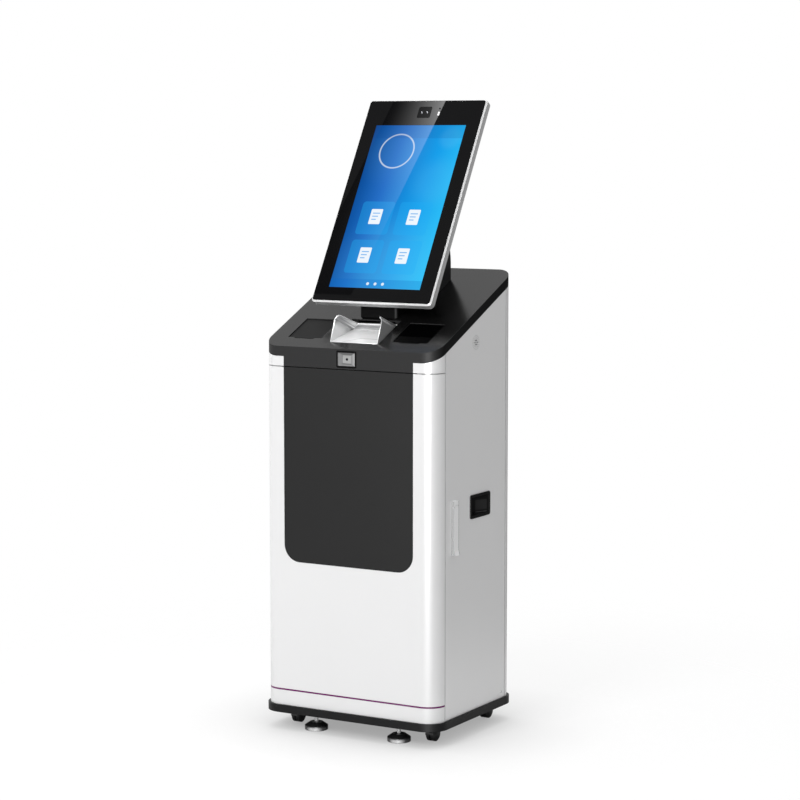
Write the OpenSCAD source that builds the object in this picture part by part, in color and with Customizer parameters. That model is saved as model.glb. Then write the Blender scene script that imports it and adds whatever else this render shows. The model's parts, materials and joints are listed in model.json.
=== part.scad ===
// Document printing kiosk: a floor-standing cabinet with a sloping desk, a tilted touch display,
// a folded steel document chute between two reader bays, and a service door on the right side.
// Front is -Y, right is +X, +Z is up, and the origin is on the floor under the cabinet's middle.

/* [Cabinet] */
// Width of the cabinet
body_w = 510; // [480:1:560]
// Depth of the cabinet
body_d = 414; // [400:1:450]
// Outside radius of the four upright corners
corner_r = 46; // [42:1:52]
// Thickness of the sheet panels
sheet = 2; // [1.5:0.1:2.5]
// Depth of the folded edge behind each panel seam
fold = 12; // [8:0.5:14]
// Gap at the upright seams beside the service door
seam = 3; // [3:0.1:4]
// Clearance between pieces that are screwed together
fit = 0.3; // [0.2:0.05:0.4]

/* [Plinth] */
// Height of the plinth's underside above the floor
foot_h = 45; // [42:0.5:52]
// Height of the plinth
plinth_h = 20; // [18:0.5:26]
// How far the plinth stands out past the cabinet
plinth_over = 6.5; // [3:0.5:10]
// Thickness of the plinth's top plate
plinth_plate = 4; // [3:0.5:6]
// Thickness of the plinth's skirt
plinth_skirt = 3; // [2:0.5:5]

/* [Front] */
// Height of the accent strip's middle above the floor
strip_z = 105.6; // [98:0.1:130]
// Height of the accent strip
strip_h = 3.2; // [2:0.1:6]
// Width of the black front panel
panel_w = 379; // [330:1:390]
// Height of the front panel's lower edge above the floor
panel_z = 440.7; // [300:0.1:600]
// Radius of the front panel's lower corners
panel_r = 45; // [10:1:60]
// Thickness of the front panel's backing plate
panel_back = 3; // [2:0.5:5]
// How far the backing plate laps behind the sheet
panel_lap = 12; // [6:1:18]
// Height of the seam under the desk apron
seam_z = 941.4; // [925:0.1:950]
// Gap at the seam under the desk apron
seam_gap = 2; // [1:0.1:3]

/* [Desk] */
// Height of the desk's underside at its front edge
desk_z = 967.7; // [960:0.1:985]
// Slope of the desk
desk_angle = 24.2; // [20:0.1:26]
// Upright thickness of the desk's edge
desk_t = 25.1; // [22:0.1:32]
// Thickness of the desk moulding's skin
desk_skin = 3; // [2.5:0.1:4]
// Side of each square reader bay
bay_w = 100; // [80:1:104]
// Distance of each reader bay's middle from the desk's middle
bay_x = 153.5; // [135:0.5:160]
// Distance of the reader bays' middle from the front edge, along the slope
bay_v = 99; // [85:0.5:115]
// Depth of a reader's face below the desk's surface
bay_sink = 2; // [1:0.1:2.4]
// Width of the finger notch at the front of each bay
notch_w = 57; // [40:1:70]
// Length of the finger notch at the front of each bay
notch_l = 5; // [3:0.5:10]

/* [Document chute] */
// Width of the chute
chute_w = 139; // [120:0.5:150]
// Thickness of the chute's steel sheet
chute_t = 1.5; // [1:0.1:2]
// Gap between the chute and the edge of its opening
chute_gap = 2.5; // [1:0.1:4]
// Distance of the chute's lip from the desk's front edge, along the slope
lip_v = 33.5; // [28:0.5:38]
// Distance of the bend behind the lip from the desk's front edge
lip_bend_v = 71; // [60:0.5:76]
// Depth of the bend behind the lip below the desk's surface
lip_bend_h = 7; // [5:0.5:9]
// Distance of the chute's rear bend from the desk's front edge
rear_bend_v = 144.5; // [136:0.5:146]
// Depth of the chute's rear bend below the desk's surface
rear_bend_h = 23.5; // [18:0.5:25]
// Distance of the chute's rear edge from the desk's front edge
rear_v = 153; // [151:0.5:155]
// Depth of the chute's rear edge below the desk's surface
rear_h = 10; // [9:0.5:11]
// Distance of the crease's upper end on each cheek from the desk's front edge
crease_v = 78; // [70:0.5:86]
// Height of the crease's upper end above the desk's surface
crease_h = 43.5; // [34:0.5:48]
// Angle of the band that is folded inwards along each crease
cheek_fold = 42; // [30:0.5:44]
// Width of the folded band at the cheek's peak
band_w = 14; // [12:0.5:18]
// Radius that rounds the cheeks' peaks
peak_r = 7; // [3:0.5:7]
// Thickness of the well's walls round the chute
well_t = 2; // [1.5:0.1:3]
// Width of the paper mouth in the well's rear wall
mouth_w = 110; // [90:1:112]

/* [Code reader] */
// Distance of the code reader from the cabinet's middle, to the right
code_x = -3; // [-60:0.5:60]
// Height of the code reader's middle above the floor
code_z = 967.2; // [965:0.1:969]
// Width of the code reader's black surround
code_w = 58; // [50:0.5:70]
// Height of the code reader's black surround
code_h = 42; // [38:0.5:44]
// Width of the black surround's border
code_border = 3.2; // [2:0.1:5]
// Width of the code reader's window
code_win_w = 24; // [18:0.5:30]
// Height of the code reader's window
code_win_h = 20.5; // [14:0.5:22]
// Depth of the window behind the front
code_sink = 3; // [2:0.1:3.5]
// Radius of the code reader's lens
code_lens_r = 2.6; // [1.5:0.1:4]

/* [Display] */
// Width of the cover glass
glass_w = 345.5; // [320:0.5:370]
// Height of the cover glass, along its slope
glass_h = 590; // [560:0.5:610]
// Corner radius of the cover glass
glass_r = 7; // [4:0.5:12]
// Thickness of the cover glass
glass_t = 3; // [2:0.1:4]
// Width of the screen
screen_w = 268; // [250:0.5:290]
// Height of the screen, along its slope
screen_h = 477.5; // [440:0.5:490]
// Black border below the screen
screen_low = 38.6; // [30:0.1:50]
// Lean of the display back from upright
tilt = 30.3; // [28:0.1:32]
// Distance of the glass's lower edge behind the cabinet's front
glass_setback = 110; // [100:0.5:118]
// Height of the glass's lower edge above the floor
glass_z = 1105.2; // [1095:0.1:1130]
// Width of the frame's bright bevel round the glass
bevel = 4; // [2:0.1:6]
// Thickness of the display's frame
frame_t = 20; // [16:0.5:24]
// Thickness of the frame's rear wall
frame_back = 2; // [1.5:0.1:4]
// Depth of the rear housing behind the frame
housing_t = 26; // [20:0.5:30]
// How far the rear housing reaches past the screen's sides
housing_past = 11; // [4:0.5:20]
// Distance of the rear housing above the glass's lower edge
housing_low = 26; // [24:0.5:40]
// Distance of the rear housing's top above the glass's lower edge
housing_top = 500; // [420:1:540]
// Width of the camera window
camera_w = 38; // [30:0.5:44]
// Height of the camera window
camera_h = 33; // [26:0.5:40]
// Distance of the camera window above the glass's lower edge
camera_v = 555; // [545:0.5:562]
// Radius of each camera lens
lens_r = 4.2; // [3:0.1:6]
// Distance between the two lenses
lens_gap = 16; // [14:0.5:18]
// Distance of the lamp and sensor from the display's middle
lamp_x = 43; // [32:0.5:60]

/* [Neck] */
// Width of the neck behind the chute
neck_front_w = 114; // [100:1:130]
// Width of the neck's rear column
neck_rear_w = 201; // [160:1:220]
// Distance of the neck's front face behind the cabinet's front
neck_front = 152; // [150:0.5:156]
// Distance of the column's front face behind the cabinet's front
neck_column = 236; // [210:0.5:260]
// Distance of the neck's rear foot behind the cabinet's front
neck_rear = 361; // [340:0.5:370]
// Height on the display where the neck ends, along its slope
neck_top = 340; // [300:1:360]
// Radius of the neck's upright edges
neck_r = 12; // [6:0.5:16]

/* [Sides] */
// Height of the speaker grille above the floor
grille_z = 1006; // [980:1:1015]
// Distance of the speaker grille behind the cabinet's middle
grille_y = -2.5; // [-40:0.5:40]
// Radius of one grille hole
grille_hole_r = 1.4; // [1:0.1:1.8]
// Distance between the grille's rings of holes
grille_pitch = 5.8; // [5:0.1:7]
// Number of rings round the grille's middle hole
grille_rings = 3; // [1:1:3]
// Length of the sunk grip
grip_l = 106; // [90:1:120]
// Height of the sunk grip
grip_h = 61; // [50:1:70]
// Distance of the grip's middle behind the cabinet's middle
grip_y = 20; // [-10:0.5:40]
// Height of the grip's middle above the floor
grip_z = 590; // [560:1:620]
// Depth of the grip's pocket
grip_depth = 24; // [18:0.5:28]
// How far the grip's rim stands out from the panel
grip_rim = 2.4; // [1.5:0.1:4]
// Width of the grip's rim
grip_border = 7; // [5:0.5:10]
// Radius of the hinge pivots of the service door
pivot_r = 4; // [3:0.1:5]
// Distance of the hinge axis inside the door's face
pivot_in = 8; // [7:0.1:8.5]
// Distance of the hinge axis from the door's rear edge
pivot_back = 16; // [15:0.5:18]

/* [Lock handle] */
// Distance of the handle behind the cabinet's front
handle_in = 91; // [85:0.5:95]
// Height of the handle's pivot above the floor
handle_z = 613; // [597:1:627]
// Width of the handle
handle_w = 25; // [20:0.5:28]
// Length of the handle's base plate
handle_l = 138; // [120:1:160]
// Thickness of the handle's base plate
handle_plate = 2.5; // [2:0.1:4]
// Height of the handle's fixed head
head_h = 11; // [10:0.5:14]
// Thickness of the handle's lever
lever_t = 5; // [4:0.1:6]
// Radius of the lock's spindle
spindle_r = 4; // [3:0.1:4.4]
// Length of the lock's cam from the spindle's axis
cam_l = 52; // [50:0.5:54]

/* [Feet and casters] */
// Distance of each foot inside the cabinet's side
foot_in_x = 131.7; // [116:0.1:140]
// Distance of each foot inside the cabinet's front or rear
foot_in_y = 45; // [39:0.1:52]
// Radius of a foot's pad
pad_r = 30; // [24:0.5:34]
// Height of a foot pad's metal rim
pad_rim = 12; // [8:0.5:14]
// Height of a foot pad's cone
pad_cone = 8; // [5:0.5:10]
// Radius of a foot's stud
stud_r = 5; // [4:0.1:6]
// Distance of each caster's swivel inside the cabinet's side
caster_in_x = 54; // [49:0.5:60]
// Distance of each caster's swivel inside the cabinet's front or rear
caster_in_y = 65; // [63:0.5:72]
// Distance of a caster's axle behind its swivel
caster_trail = 17.5; // [14:0.5:20]
// Radius of a caster's wheels
wheel_r = 19; // [17:0.5:20]
// Height of the wheels above the floor when the feet carry the kiosk
wheel_lift = 2; // [1:0.5:3]
// Half width of the wheels' tread
tread_half = 10; // [8:0.5:12]
// Half width of the wheels at the axle
wheel_half = 17; // [14:0.5:19]
// Radius of a caster's axle
axle_r = 3; // [2:0.1:4]
// Radius of a caster's stem
stem_r = 5; // [4:0.1:6]
// Running clearance round pins, stems and shafts
running = 0.05; // [0.02:0.01:0.09]

/* [Inside] */
// Side of the square corner posts
post = 25; // [20:1:28]
// Height of the printer shelf above the floor
shelf_z = 860; // [820:1:880]
// Height of the shelf's folded front and rear edges
shelf_fold = 20; // [10:1:30]
// Width of the printer
printer_w = 152; // [140:1:170]
// Radius of the platen roller
platen_r = 8; // [6:0.1:9]
// Radius of the platen roller's shaft
platen_shaft_r = 4; // [3:0.1:5]
// Radius of a full paper roll
roll_r = 48; // [35:1:52]
// Width of the paper roll
roll_w = 104; // [90:1:108]
// Radius of the spindle through the paper roll
roll_core_r = 12; // [8:0.5:14]
// Width of the computer
computer_w = 190; // [160:1:200]
// Height of the computer
computer_h = 55; // [40:1:80]
// Distance of the mains inlet from the cabinet's middle, to the right
inlet_x = -150; // [-160:1:-100]
// Height of the mains inlet's middle above the floor
inlet_z = 140; // [120:1:200]

/* [Hidden] */
$fn = 64;
cut = 1;
half_w = body_w / 2;
half_d = body_d / 2;
edge_y = half_d - corner_r;
cabinet_z = foot_h + plinth_h;
strip_low = strip_z - strip_h / 2;
strip_top = strip_z + strip_h / 2;
shell_top = seam_z - seam_gap / 2;
trim_low = seam_z + seam_gap / 2;
slope = tan(desk_angle);
desk_front_z = desk_z + desk_t;
far = body_w + body_d;
tall = glass_z + glass_h;
door_half = edge_y - seam;
pivot_x = half_w - pivot_in;
pivot_y = door_half - pivot_back;
glass_y = -half_d + glass_setback;
frame_w = glass_w + 2 * bevel;
frame_h = glass_h + 2 * bevel;
housing_d = frame_t + housing_t;
housing_w = screen_w + 2 * housing_past;
mouth_over = 0.5;
mouth_low = rear_h + mouth_over;
well_floor = rear_bend_h + chute_t + fit;
well_front_v = lip_v - well_t - fit;
crease_drop = [rear_bend_v - crease_v, crease_h + rear_bend_h];
crease_angle = atan2(crease_drop[1], crease_drop[0]);
crease_l = norm(crease_drop);
rear_drop = [rear_v - crease_v, crease_h + rear_h];
band_end_l = rear_drop[0] * cos(crease_angle) + rear_drop[1] * sin(crease_angle);
band_end_w = (rear_drop[0] * sin(crease_angle) - rear_drop[1] * cos(crease_angle)) / cos(cheek_fold);
well_rear_v = rear_v + chute_t + chute_gap;
well_half = chute_w / 2 + chute_gap;
code_depth = desk_skin + 4;
code_proud = 0.5;
code_r = code_border + 1;
code_window_set = 0.2;
recess = 1;
recess_fill = 0.95;
camera_r = 4;
lamp_w = 6;
lamp_h = 12;
lamp_r = 2.9;
lamp_v = camera_v - 4;
dot_r = 2.2;
dot_v = camera_v + 11;
grip_open_l = grip_l - 2 * grip_border;
grip_open_h = grip_h - 2 * grip_border;
grip_wall = 2;
hole_l = grip_open_l + 2 * grip_wall + 2 * fit;
hole_h = grip_open_h + 2 * grip_wall + 2 * fit;
foot_x = half_w - foot_in_x;
foot_y = half_d - foot_in_y;
caster_x = half_w - caster_in_x;
caster_y = half_d - caster_in_y;
wheel_z = wheel_lift + wheel_r;
dome_u = (wheel_half ^ 2 - tread_half ^ 2 - wheel_r ^ 2) / (2 * (wheel_half - tread_half));
dome_r = wheel_half - dome_u;
web_half = 1.5;
web_gap = 0.5;
hood_in = wheel_r + 1.5;
hood_out = hood_in + 2;
horn_z = wheel_z + hood_in;
boss_r = 14;
boss_low = foot_h + 2;
nut_h = 7;
corner_share = 0.64;
post_out = (corner_r - sheet) * corner_share;
post_x = half_w - corner_r + post_out - post;
post_y = edge_y + post_out - post;
printer_front = -half_d + (well_rear_v + well_t) * cos(desk_angle)
    + (well_floor + well_t) * sin(desk_angle) + fit;
mouth_mid_h = -(mouth_low + desk_skin) / 2;
mouth_z = desk_front_z + well_rear_v * sin(desk_angle) + mouth_mid_h * cos(desk_angle);
platen_in = 20;
platen_drop = 6;
platen_y = printer_front + platen_in;
platen_z = mouth_z - platen_r - platen_drop;
platen_bearing = 8;
printer_d = 62;
printer_cover = 3;
printer_top = platen_z + platen_r + printer_cover;
roll_space = 14;
roll_rise = 16;
roll_y = printer_front + printer_d + roll_r + roll_space;
roll_z = shelf_z + sheet + roll_r + roll_rise;
handle_y = -half_d + handle_in;
lever_x = half_w + handle_plate + fit;
handle_face = handle_w - 2;
handle_low = handle_z + head_h / 2 - handle_l;
head_low = handle_z - head_h / 2;
lever_gap = 0.4;
lever_pin_r = 1.2;
lever_pin_x = lever_x + lever_t / 2;
lever_pin_z = head_low - lever_gap - lever_t / 2;
lever_ear = 3;
cam_t = 3;
cam_x = half_w - fold - fit - cam_t;
screw_rise = 15.6;
ear_t = 3;
ear_l = 14;
ear_gap = 4;
pivot_h = 12;
foot_travel = 15;
rocker_tilt = 9;
rocker_pin_r = 1.5;
rocker_pin_l = 25;
rocker_in = 2;
rocker_up = 10;
rocker_y = half_d - rocker_in;
rocker_z = inlet_z + rocker_up;
inlet_w = 27;
inlet_h = 47;
inlet_flange = 2.5;

// Height of the desk's underside and surface at a depth y
function desk_under(y) = desk_z + slope * (y + half_d);
function desk_over(y) = desk_under(y) + desk_t;
// Place in the side view of a point on the display, v up the glass and d behind it
function behind_glass(v, d) =
    [glass_y + v * sin(tilt) + d * cos(tilt), glass_z + v * cos(tilt) - d * sin(tilt)];

// Flat rectangle with round corners
module rounded_rect(w, d, r) {
    square([w - 2 * r, d], center = true);
    square([w, d - 2 * r], center = true);
    for (x = [-1, 1], y = [-1, 1])
        translate([x * (w / 2 - r), y * (d / 2 - r)]) circle(r);
}

// Solid whose side view is a list of [y, z] points
module side_prism(points, w) {
    translate([-w / 2, 0, 0]) rotate([90, 0, 90]) linear_extrude(w) polygon(points);
}

// Everything that lies under the desk's underside, raised by lift
module under_desk(lift) {
    side_prism([[-far, 0], [far, 0], [far, desk_under(far) + lift], [-far, desk_under(-far) + lift]],
        2 * far);
}

// Frame on the desk's surface: x across, y up the slope, z out of the desk
module on_desk(x, v, h) {
    translate([0, -half_d, desk_front_z]) rotate([desk_angle, 0, 0]) translate([x, v, h]) children();
}

// Frame on the cover glass: x across, y up the glass, z towards the user
module on_glass(x, v, h) {
    translate([0, glass_y, glass_z]) rotate([90 - tilt, 0, 0]) translate([x, v, h]) children();
}

// Frame on the right side: x towards the rear, y up, z outwards
module on_side(y, z, out) {
    translate([half_w + out, y, z]) rotate([90, 0, 90]) children();
}

// Frame on the front: x to the right, y up, z towards the user
module on_front(x, z, out) {
    translate([x, -half_d - out, z]) rotate([90, 0, 0]) children();
}

// Plan of the cabinet's sheet wall, t thick
module wall_plan(t) {
    difference() {
        rounded_rect(body_w, body_d, corner_r);
        rounded_rect(body_w - 2 * t, body_d - 2 * t, corner_r - t);
    }
}

// Plan of the front wall with its two corners
module front_plan(t) {
    intersection() {
        wall_plan(t);
        translate([-far, -far]) square([2 * far, far - edge_y]);
    }
}

// Folded edges behind the two upright seams of a front wall
module fold_plan() {
    for (x = [-1, 1])
        translate([x * (half_w - fold / 2) - fold / 2, -edge_y - sheet]) square([fold, sheet]);
}

// Outline of the front panel, grown by g and cut off at the top
module panel_outline(g, top) {
    w = panel_w + 2 * g;
    r = panel_r + g;
    low = panel_z - g;
    translate([-w / 2, low + r]) square([w, top - low - r]);
    translate([-w / 2 + r, low]) square([w - 2 * r, r]);
    for (x = [-1, 1]) translate([x * (w / 2 - r), low + r]) circle(r);
}

module base_plinth() {
    color("#2a2a2c") difference() {
        union() {
            difference() {
                translate([0, 0, foot_h]) linear_extrude(plinth_h)
                    rounded_rect(body_w + 2 * plinth_over, body_d + 2 * plinth_over, corner_r + plinth_over);
                translate([0, 0, foot_h - cut]) linear_extrude(plinth_h - plinth_plate + cut)
                    rounded_rect(body_w + 2 * (plinth_over - plinth_skirt),
                        body_d + 2 * (plinth_over - plinth_skirt),
                        corner_r + plinth_over - plinth_skirt);
            }
            for (x = [-1, 1], y = [-1, 1]) {
                translate([x * foot_x, y * foot_y, boss_low]) cylinder(h = cabinet_z - boss_low, r = boss_r);
                translate([x * caster_x, y * caster_y, boss_low])
                    cylinder(h = cabinet_z - boss_low, r = boss_r);
            }
        }
        for (x = [-1, 1], y = [-1, 1]) {
            translate([x * foot_x, y * foot_y, foot_h]) cylinder(h = plinth_h + cut, r = stud_r + running);
            translate([x * caster_x, y * caster_y, foot_h])
                cylinder(h = plinth_h + cut, r = stem_r + running);
        }
    }
}

module foot_lock_nuts() {
    color("silver") for (x = [-1, 1], y = [-1, 1])
        translate([x * foot_x, y * foot_y, cabinet_z]) difference() {
            cylinder(h = nut_h, r = stud_r * 1.8, $fn = 6);
            translate([0, 0, -cut]) cylinder(h = nut_h + 2 * cut, r = stud_r + running);
        }
}

module corner_posts() {
    color("#9a9da0") intersection() {
        for (x = [-1, 1], y = [-1, 1])
            translate([x * (post_x + post / 2), y * (post_y + post / 2), cabinet_z]) linear_extrude(tall)
                difference() {
                    square(post, center = true);
                    square(post - 2 * sheet, center = true);
                }
        under_desk(desk_t - desk_skin / cos(desk_angle) - fit);
    }
}

module kick_panel() {
    color("#f2f2f2") translate([0, 0, cabinet_z]) linear_extrude(strip_low - cabinet_z) {
        front_plan(sheet);
        fold_plan();
    }
}

module accent_strip() {
    color("#7d376e") translate([0, 0, strip_low]) linear_extrude(strip_h) front_plan(sheet);
}

module front_shell() {
    color("#f4f4f4") difference() {
        translate([0, 0, strip_top]) linear_extrude(shell_top - strip_top) {
            front_plan(sheet);
            fold_plan();
        }
        on_front(0, 0, -sheet - cut) linear_extrude(sheet + 2 * cut) panel_outline(0, shell_top + cut);
    }
}

module front_panel() {
    color("#303032") {
        on_front(0, 0, -sheet) linear_extrude(sheet) panel_outline(-fit, shell_top);
        on_front(0, 0, -sheet - panel_back) linear_extrude(panel_back) panel_outline(panel_lap, shell_top);
    }
}

// White corner pieces between the front shell and the desk
module upper_trims() {
    color("#f4f4f4") intersection() {
        translate([0, 0, trim_low]) linear_extrude(tall) difference() {
            union() {
                front_plan(sheet);
                fold_plan();
            }
            square([panel_w, 2 * far], center = true);
        }
        under_desk(-fit);
    }
}

// Rear wall: a flat panel with vents and the inlet's cutout, and two corner pieces
module rear_shell() {
    slot_w = 44;
    slot_h = 5;
    slot_x = 32;
    slot_pitch = 13;
    slot_rows = 8;
    slot_drop = 60;
    color("#f2f2f2") difference() {
        intersection() {
            translate([0, 0, cabinet_z]) linear_extrude(tall) mirror([0, 1]) {
                front_plan(sheet);
                fold_plan();
            }
            under_desk(-fit);
        }
        for (col = [-1, 1], row = [0:slot_rows - 1])
            translate([col * slot_x, half_d - sheet / 2, desk_under(0) - slot_drop - row * slot_pitch])
                cube([slot_w, sheet + 2 * cut, slot_h], center = true);
        translate([inlet_x, half_d - sheet / 2, inlet_z])
            cube([inlet_w + 3 * fit, sheet + 2 * cut, inlet_h + 3 * fit], center = true);
        for (x = [-1, 1])
            translate([x * (half_w - corner_r), half_d - sheet / 2, 0])
                cube([fit, 2 * sheet, 2 * tall], center = true);
    }
}

// Rings of round holes, in the plane of a side panel
module grille_holes() {
    circle(grille_hole_r, $fn = 24);
    for (ring = [1:grille_rings], k = [0:6 * ring - 1])
        rotate(k * 60 / ring) translate([ring * grille_pitch, 0]) circle(grille_hole_r, $fn = 24);
}

// Flat side panel with folded edges, grille and grip opening, on the right side
module side_panel(half_l) {
    low = cabinet_z + fit;
    difference() {
        intersection() {
            union() {
                translate([half_w - sheet, -half_l, low]) cube([sheet, 2 * half_l, tall]);
                for (y = [-half_l, half_l - sheet])
                    translate([half_w - fold, y, low]) cube([fold, sheet, tall]);
                translate([half_w - fold, -half_l, low]) cube([fold, 2 * half_l, sheet]);
            }
            under_desk(-fit);
        }
        on_side(grille_y, grille_z, -sheet - cut) linear_extrude(sheet + 2 * cut) grille_holes();
        on_side(grip_y, grip_z, -sheet - cut) linear_extrude(sheet + 2 * cut)
            rounded_rect(hole_l, hole_h, grip_wall);
    }
}

module left_side_panel() {
    color("#e6e6e6") mirror([1, 0, 0]) side_panel(edge_y - fit);
}

// Sunk finger grip: a rim over the panel, a deep front end and a ramp at the rear
module side_grip() {
    y0 = grip_y - grip_open_l / 2;
    y1 = grip_y + grip_open_l / 2;
    floor_x = half_w - grip_depth;
    ramp_y = grip_y - grip_open_l * 0.05;
    top_x = half_w + grip_rim + cut;
    color("#141414") difference() {
        union() {
            on_side(grip_y, grip_z, 0) linear_extrude(grip_rim) rounded_rect(grip_l, grip_h, grip_border);
            on_side(grip_y, grip_z, -grip_depth - grip_wall) linear_extrude(grip_depth + grip_wall)
                rounded_rect(hole_l - 2 * fit, hole_h - 2 * fit, grip_wall);
        }
        translate([0, 0, grip_z - grip_open_h / 2]) linear_extrude(grip_open_h)
            polygon([[top_x, y0], [floor_x, y0], [floor_x, ramp_y], [half_w, y1], [top_x, y1]]);
    }
}

module left_grip() {
    mirror([1, 0, 0]) side_grip();
}

module right_grip() {
    side_grip();
}

// Round driver on the inside of the grille
module side_speaker() {
    flange_r = (grille_rings + 1) * grille_pitch;
    flange_t = 2;
    basket_h = 16;
    basket_r = flange_r * 0.6;
    magnet_h = 24;
    magnet_r = flange_r * 0.7;
    cone_h = 10;
    cone_r = flange_r * 0.3;
    color("#1c1c1e") on_side(grille_y, grille_z, -sheet) mirror([0, 0, 1]) difference() {
        union() {
            cylinder(h = flange_t, r = flange_r);
            cylinder(h = basket_h, r1 = flange_r - flange_t, r2 = basket_r);
            cylinder(h = magnet_h, r = magnet_r);
        }
        translate([0, 0, -cut]) cylinder(h = cone_h + cut, r1 = flange_r - 2 * flange_t, r2 = cone_r);
    }
}

module left_speaker() {
    mirror([1, 0, 0]) side_speaker();
}

module right_speaker() {
    side_speaker();
}

// Outline of a reader bay with its finger notch, grown by g
module bay_outline(g) {
    square(bay_w + 2 * g, center = true);
    translate([0, -bay_w / 2 - notch_l / 2]) square([notch_w + 2 * g, notch_l + 2 * g], center = true);
}

// Sloping desk moulding with its apron
module top_deck() {
    skin_v = desk_skin / cos(desk_angle);
    cable_r = 22;
    cable_in = 30;
    color("#4d4d4f") difference() {
        union() {
            difference() {
                intersection() {
                    linear_extrude(tall) rounded_rect(body_w, body_d, corner_r);
                    difference() {
                        under_desk(desk_t);
                        under_desk(0);
                    }
                }
                intersection() {
                    linear_extrude(tall)
                        rounded_rect(body_w - 2 * desk_skin, body_d - 2 * desk_skin, corner_r - desk_skin);
                    under_desk(desk_t - skin_v);
                }
            }
            intersection() {
                translate([0, 0, trim_low]) linear_extrude(tall) intersection() {
                    front_plan(desk_skin);
                    square([panel_w - 2 * fit, 2 * far], center = true);
                }
                under_desk(desk_t / 2);
            }
        }
        for (x = [-1, 1])
            on_desk(x * bay_x, bay_v, -desk_t) linear_extrude(2 * desk_t) bay_outline(fit);
        on_desk(-well_half, lip_v - fit, -desk_t / 2)
            cube([2 * well_half, well_rear_v - lip_v + fit, desk_t]);
        on_front(code_x, code_z, -desk_skin - cut) linear_extrude(desk_skin + 2 * cut)
            rounded_rect(code_w + 2 * fit, code_h + 2 * fit, code_r);
        translate([0, -half_d + neck_column + cable_in, desk_under(0)]) cylinder(h = tall, r = cable_r);
    }
}

// Tray under the desk that holds the chute, with the paper mouth in its rear wall
module outlet_well() {
    over = well_floor + well_t;
    color("#1d1d1f") difference() {
        on_desk(-well_half - well_t, well_front_v, -over)
            cube([2 * (well_half + well_t), well_rear_v + well_t - well_front_v, over - desk_skin - fit]);
        on_desk(-well_half, well_front_v + well_t, -well_floor)
            cube([2 * well_half, well_rear_v - well_front_v - well_t, over]);
        on_desk(-mouth_w / 2, well_rear_v - cut, -mouth_low)
            cube([mouth_w, well_t + 2 * cut, mouth_low]);
    }
}

// Frame on the right cheek's folded band: x down the crease, y across the band, z outwards
module on_crease() {
    on_desk(chute_w / 2, crease_v, crease_h) rotate([90, 0, 90]) rotate([0, 0, -crease_angle])
        rotate([-cheek_fold, 0, 0]) children();
}

// Outline of the folded band, from the cheek's round peak to the top of the rear wall
module band_outline() {
    polygon([[0, 0], [0, band_w - peak_r], [peak_r, band_w], [band_end_l, band_end_w], [crease_l, 0]]);
    translate([peak_r, band_w - peak_r]) circle(peak_r);
}

// Outline of the flat part of a cheek, between the lip, the crease and the floor
module cheek_outline() {
    polygon([[lip_v, -chute_t], [lip_v, 0], [crease_v, crease_h], [rear_bend_v, -rear_bend_h - chute_t / 2],
        [lip_bend_v, -lip_bend_h - chute_t / 2]]);
}

// Folded steel chute: lip, floor and rear wall from one side view, with two creased cheeks
module document_chute() {
    color("#d9dadb") {
        difference() {
            on_desk(0, 0, 0) side_prism([[lip_v, 0], [lip_bend_v, -lip_bend_h], [rear_bend_v, -rear_bend_h],
                [rear_v, -rear_h], [rear_v + chute_t, -rear_h],
                [rear_bend_v + chute_t, -rear_bend_h - chute_t], [lip_bend_v, -lip_bend_h - chute_t],
                [lip_v, -chute_t]], chute_w);
            for (m = [0, 1]) mirror([m, 0, 0]) on_crease() translate([-crease_l, -crease_l, 0])
                cube([3 * crease_l, 3 * crease_l, chute_w]);
        }
        for (m = [0, 1]) mirror([m, 0, 0]) {
            on_desk(chute_w / 2 - chute_t, 0, 0) rotate([90, 0, 90]) linear_extrude(chute_t) cheek_outline();
            on_crease() translate([0, 0, -chute_t]) linear_extrude(chute_t) band_outline();
        }
    }
}

// Reader in a desk bay: a face sunk in the bay, a flange under the desk and a box below
module bay_reader(side, face_t) {
    flange = 4;
    lap = 2;
    box_h = 20;
    box_w = bay_w * 0.8;
    on_desk(side * bay_x, bay_v, -desk_skin - fit - flange) {
        linear_extrude(flange + fit + desk_skin - bay_sink - face_t) square(bay_w - 2 * fit, center = true);
        linear_extrude(flange) {
            square(bay_w + 2 * lap, center = true);
            translate([0, -bay_w / 2 - notch_l / 2]) square([notch_w, 2 * notch_l], center = true);
        }
        translate([0, 0, -box_h]) linear_extrude(box_h) square(box_w, center = true);
    }
}

module card_reader() {
    color("#303032") bay_reader(-1, 0);
}

module scanner_body() {
    color("#18181a") bay_reader(1, glass_t / 6);
}

module scanner_glass() {
    color("#0c0c0e") on_desk(bay_x, bay_v, -bay_sink - glass_t / 6) linear_extrude(glass_t / 6)
        square(bay_w - 2 * fit, center = true);
}

module code_reader_surround() {
    color("#101010") difference() {
        on_front(code_x, code_z, -code_depth) linear_extrude(code_depth + code_proud)
            rounded_rect(code_w, code_h, code_r);
        on_front(code_x, code_z, -code_depth - cut) linear_extrude(code_depth + code_proud + 2 * cut)
            square([code_w - 2 * code_border, code_h - 2 * code_border], center = true);
    }
}

// Steel funnel that narrows from the surround to the window
module code_reader_bezel() {
    w = code_w - 2 * code_border - fit;
    h = code_h - 2 * code_border - fit;
    rim = 0.5;
    open_w = w - 2 * rim;
    open_h = h - 2 * rim;
    color("#b9babb") difference() {
        on_front(code_x, code_z, -code_depth) linear_extrude(code_depth) square([w, h], center = true);
        on_front(code_x, code_z, -code_sink)
            linear_extrude(code_sink, scale = [open_w / code_win_w, open_h / code_win_h])
            square([code_win_w, code_win_h], center = true);
        on_front(code_x, code_z, -code_depth - cut) linear_extrude(code_depth)
            square([code_win_w, code_win_h], center = true);
        on_front(code_x, code_z, 0) linear_extrude(cut) square([open_w, open_h], center = true);
    }
}

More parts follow.
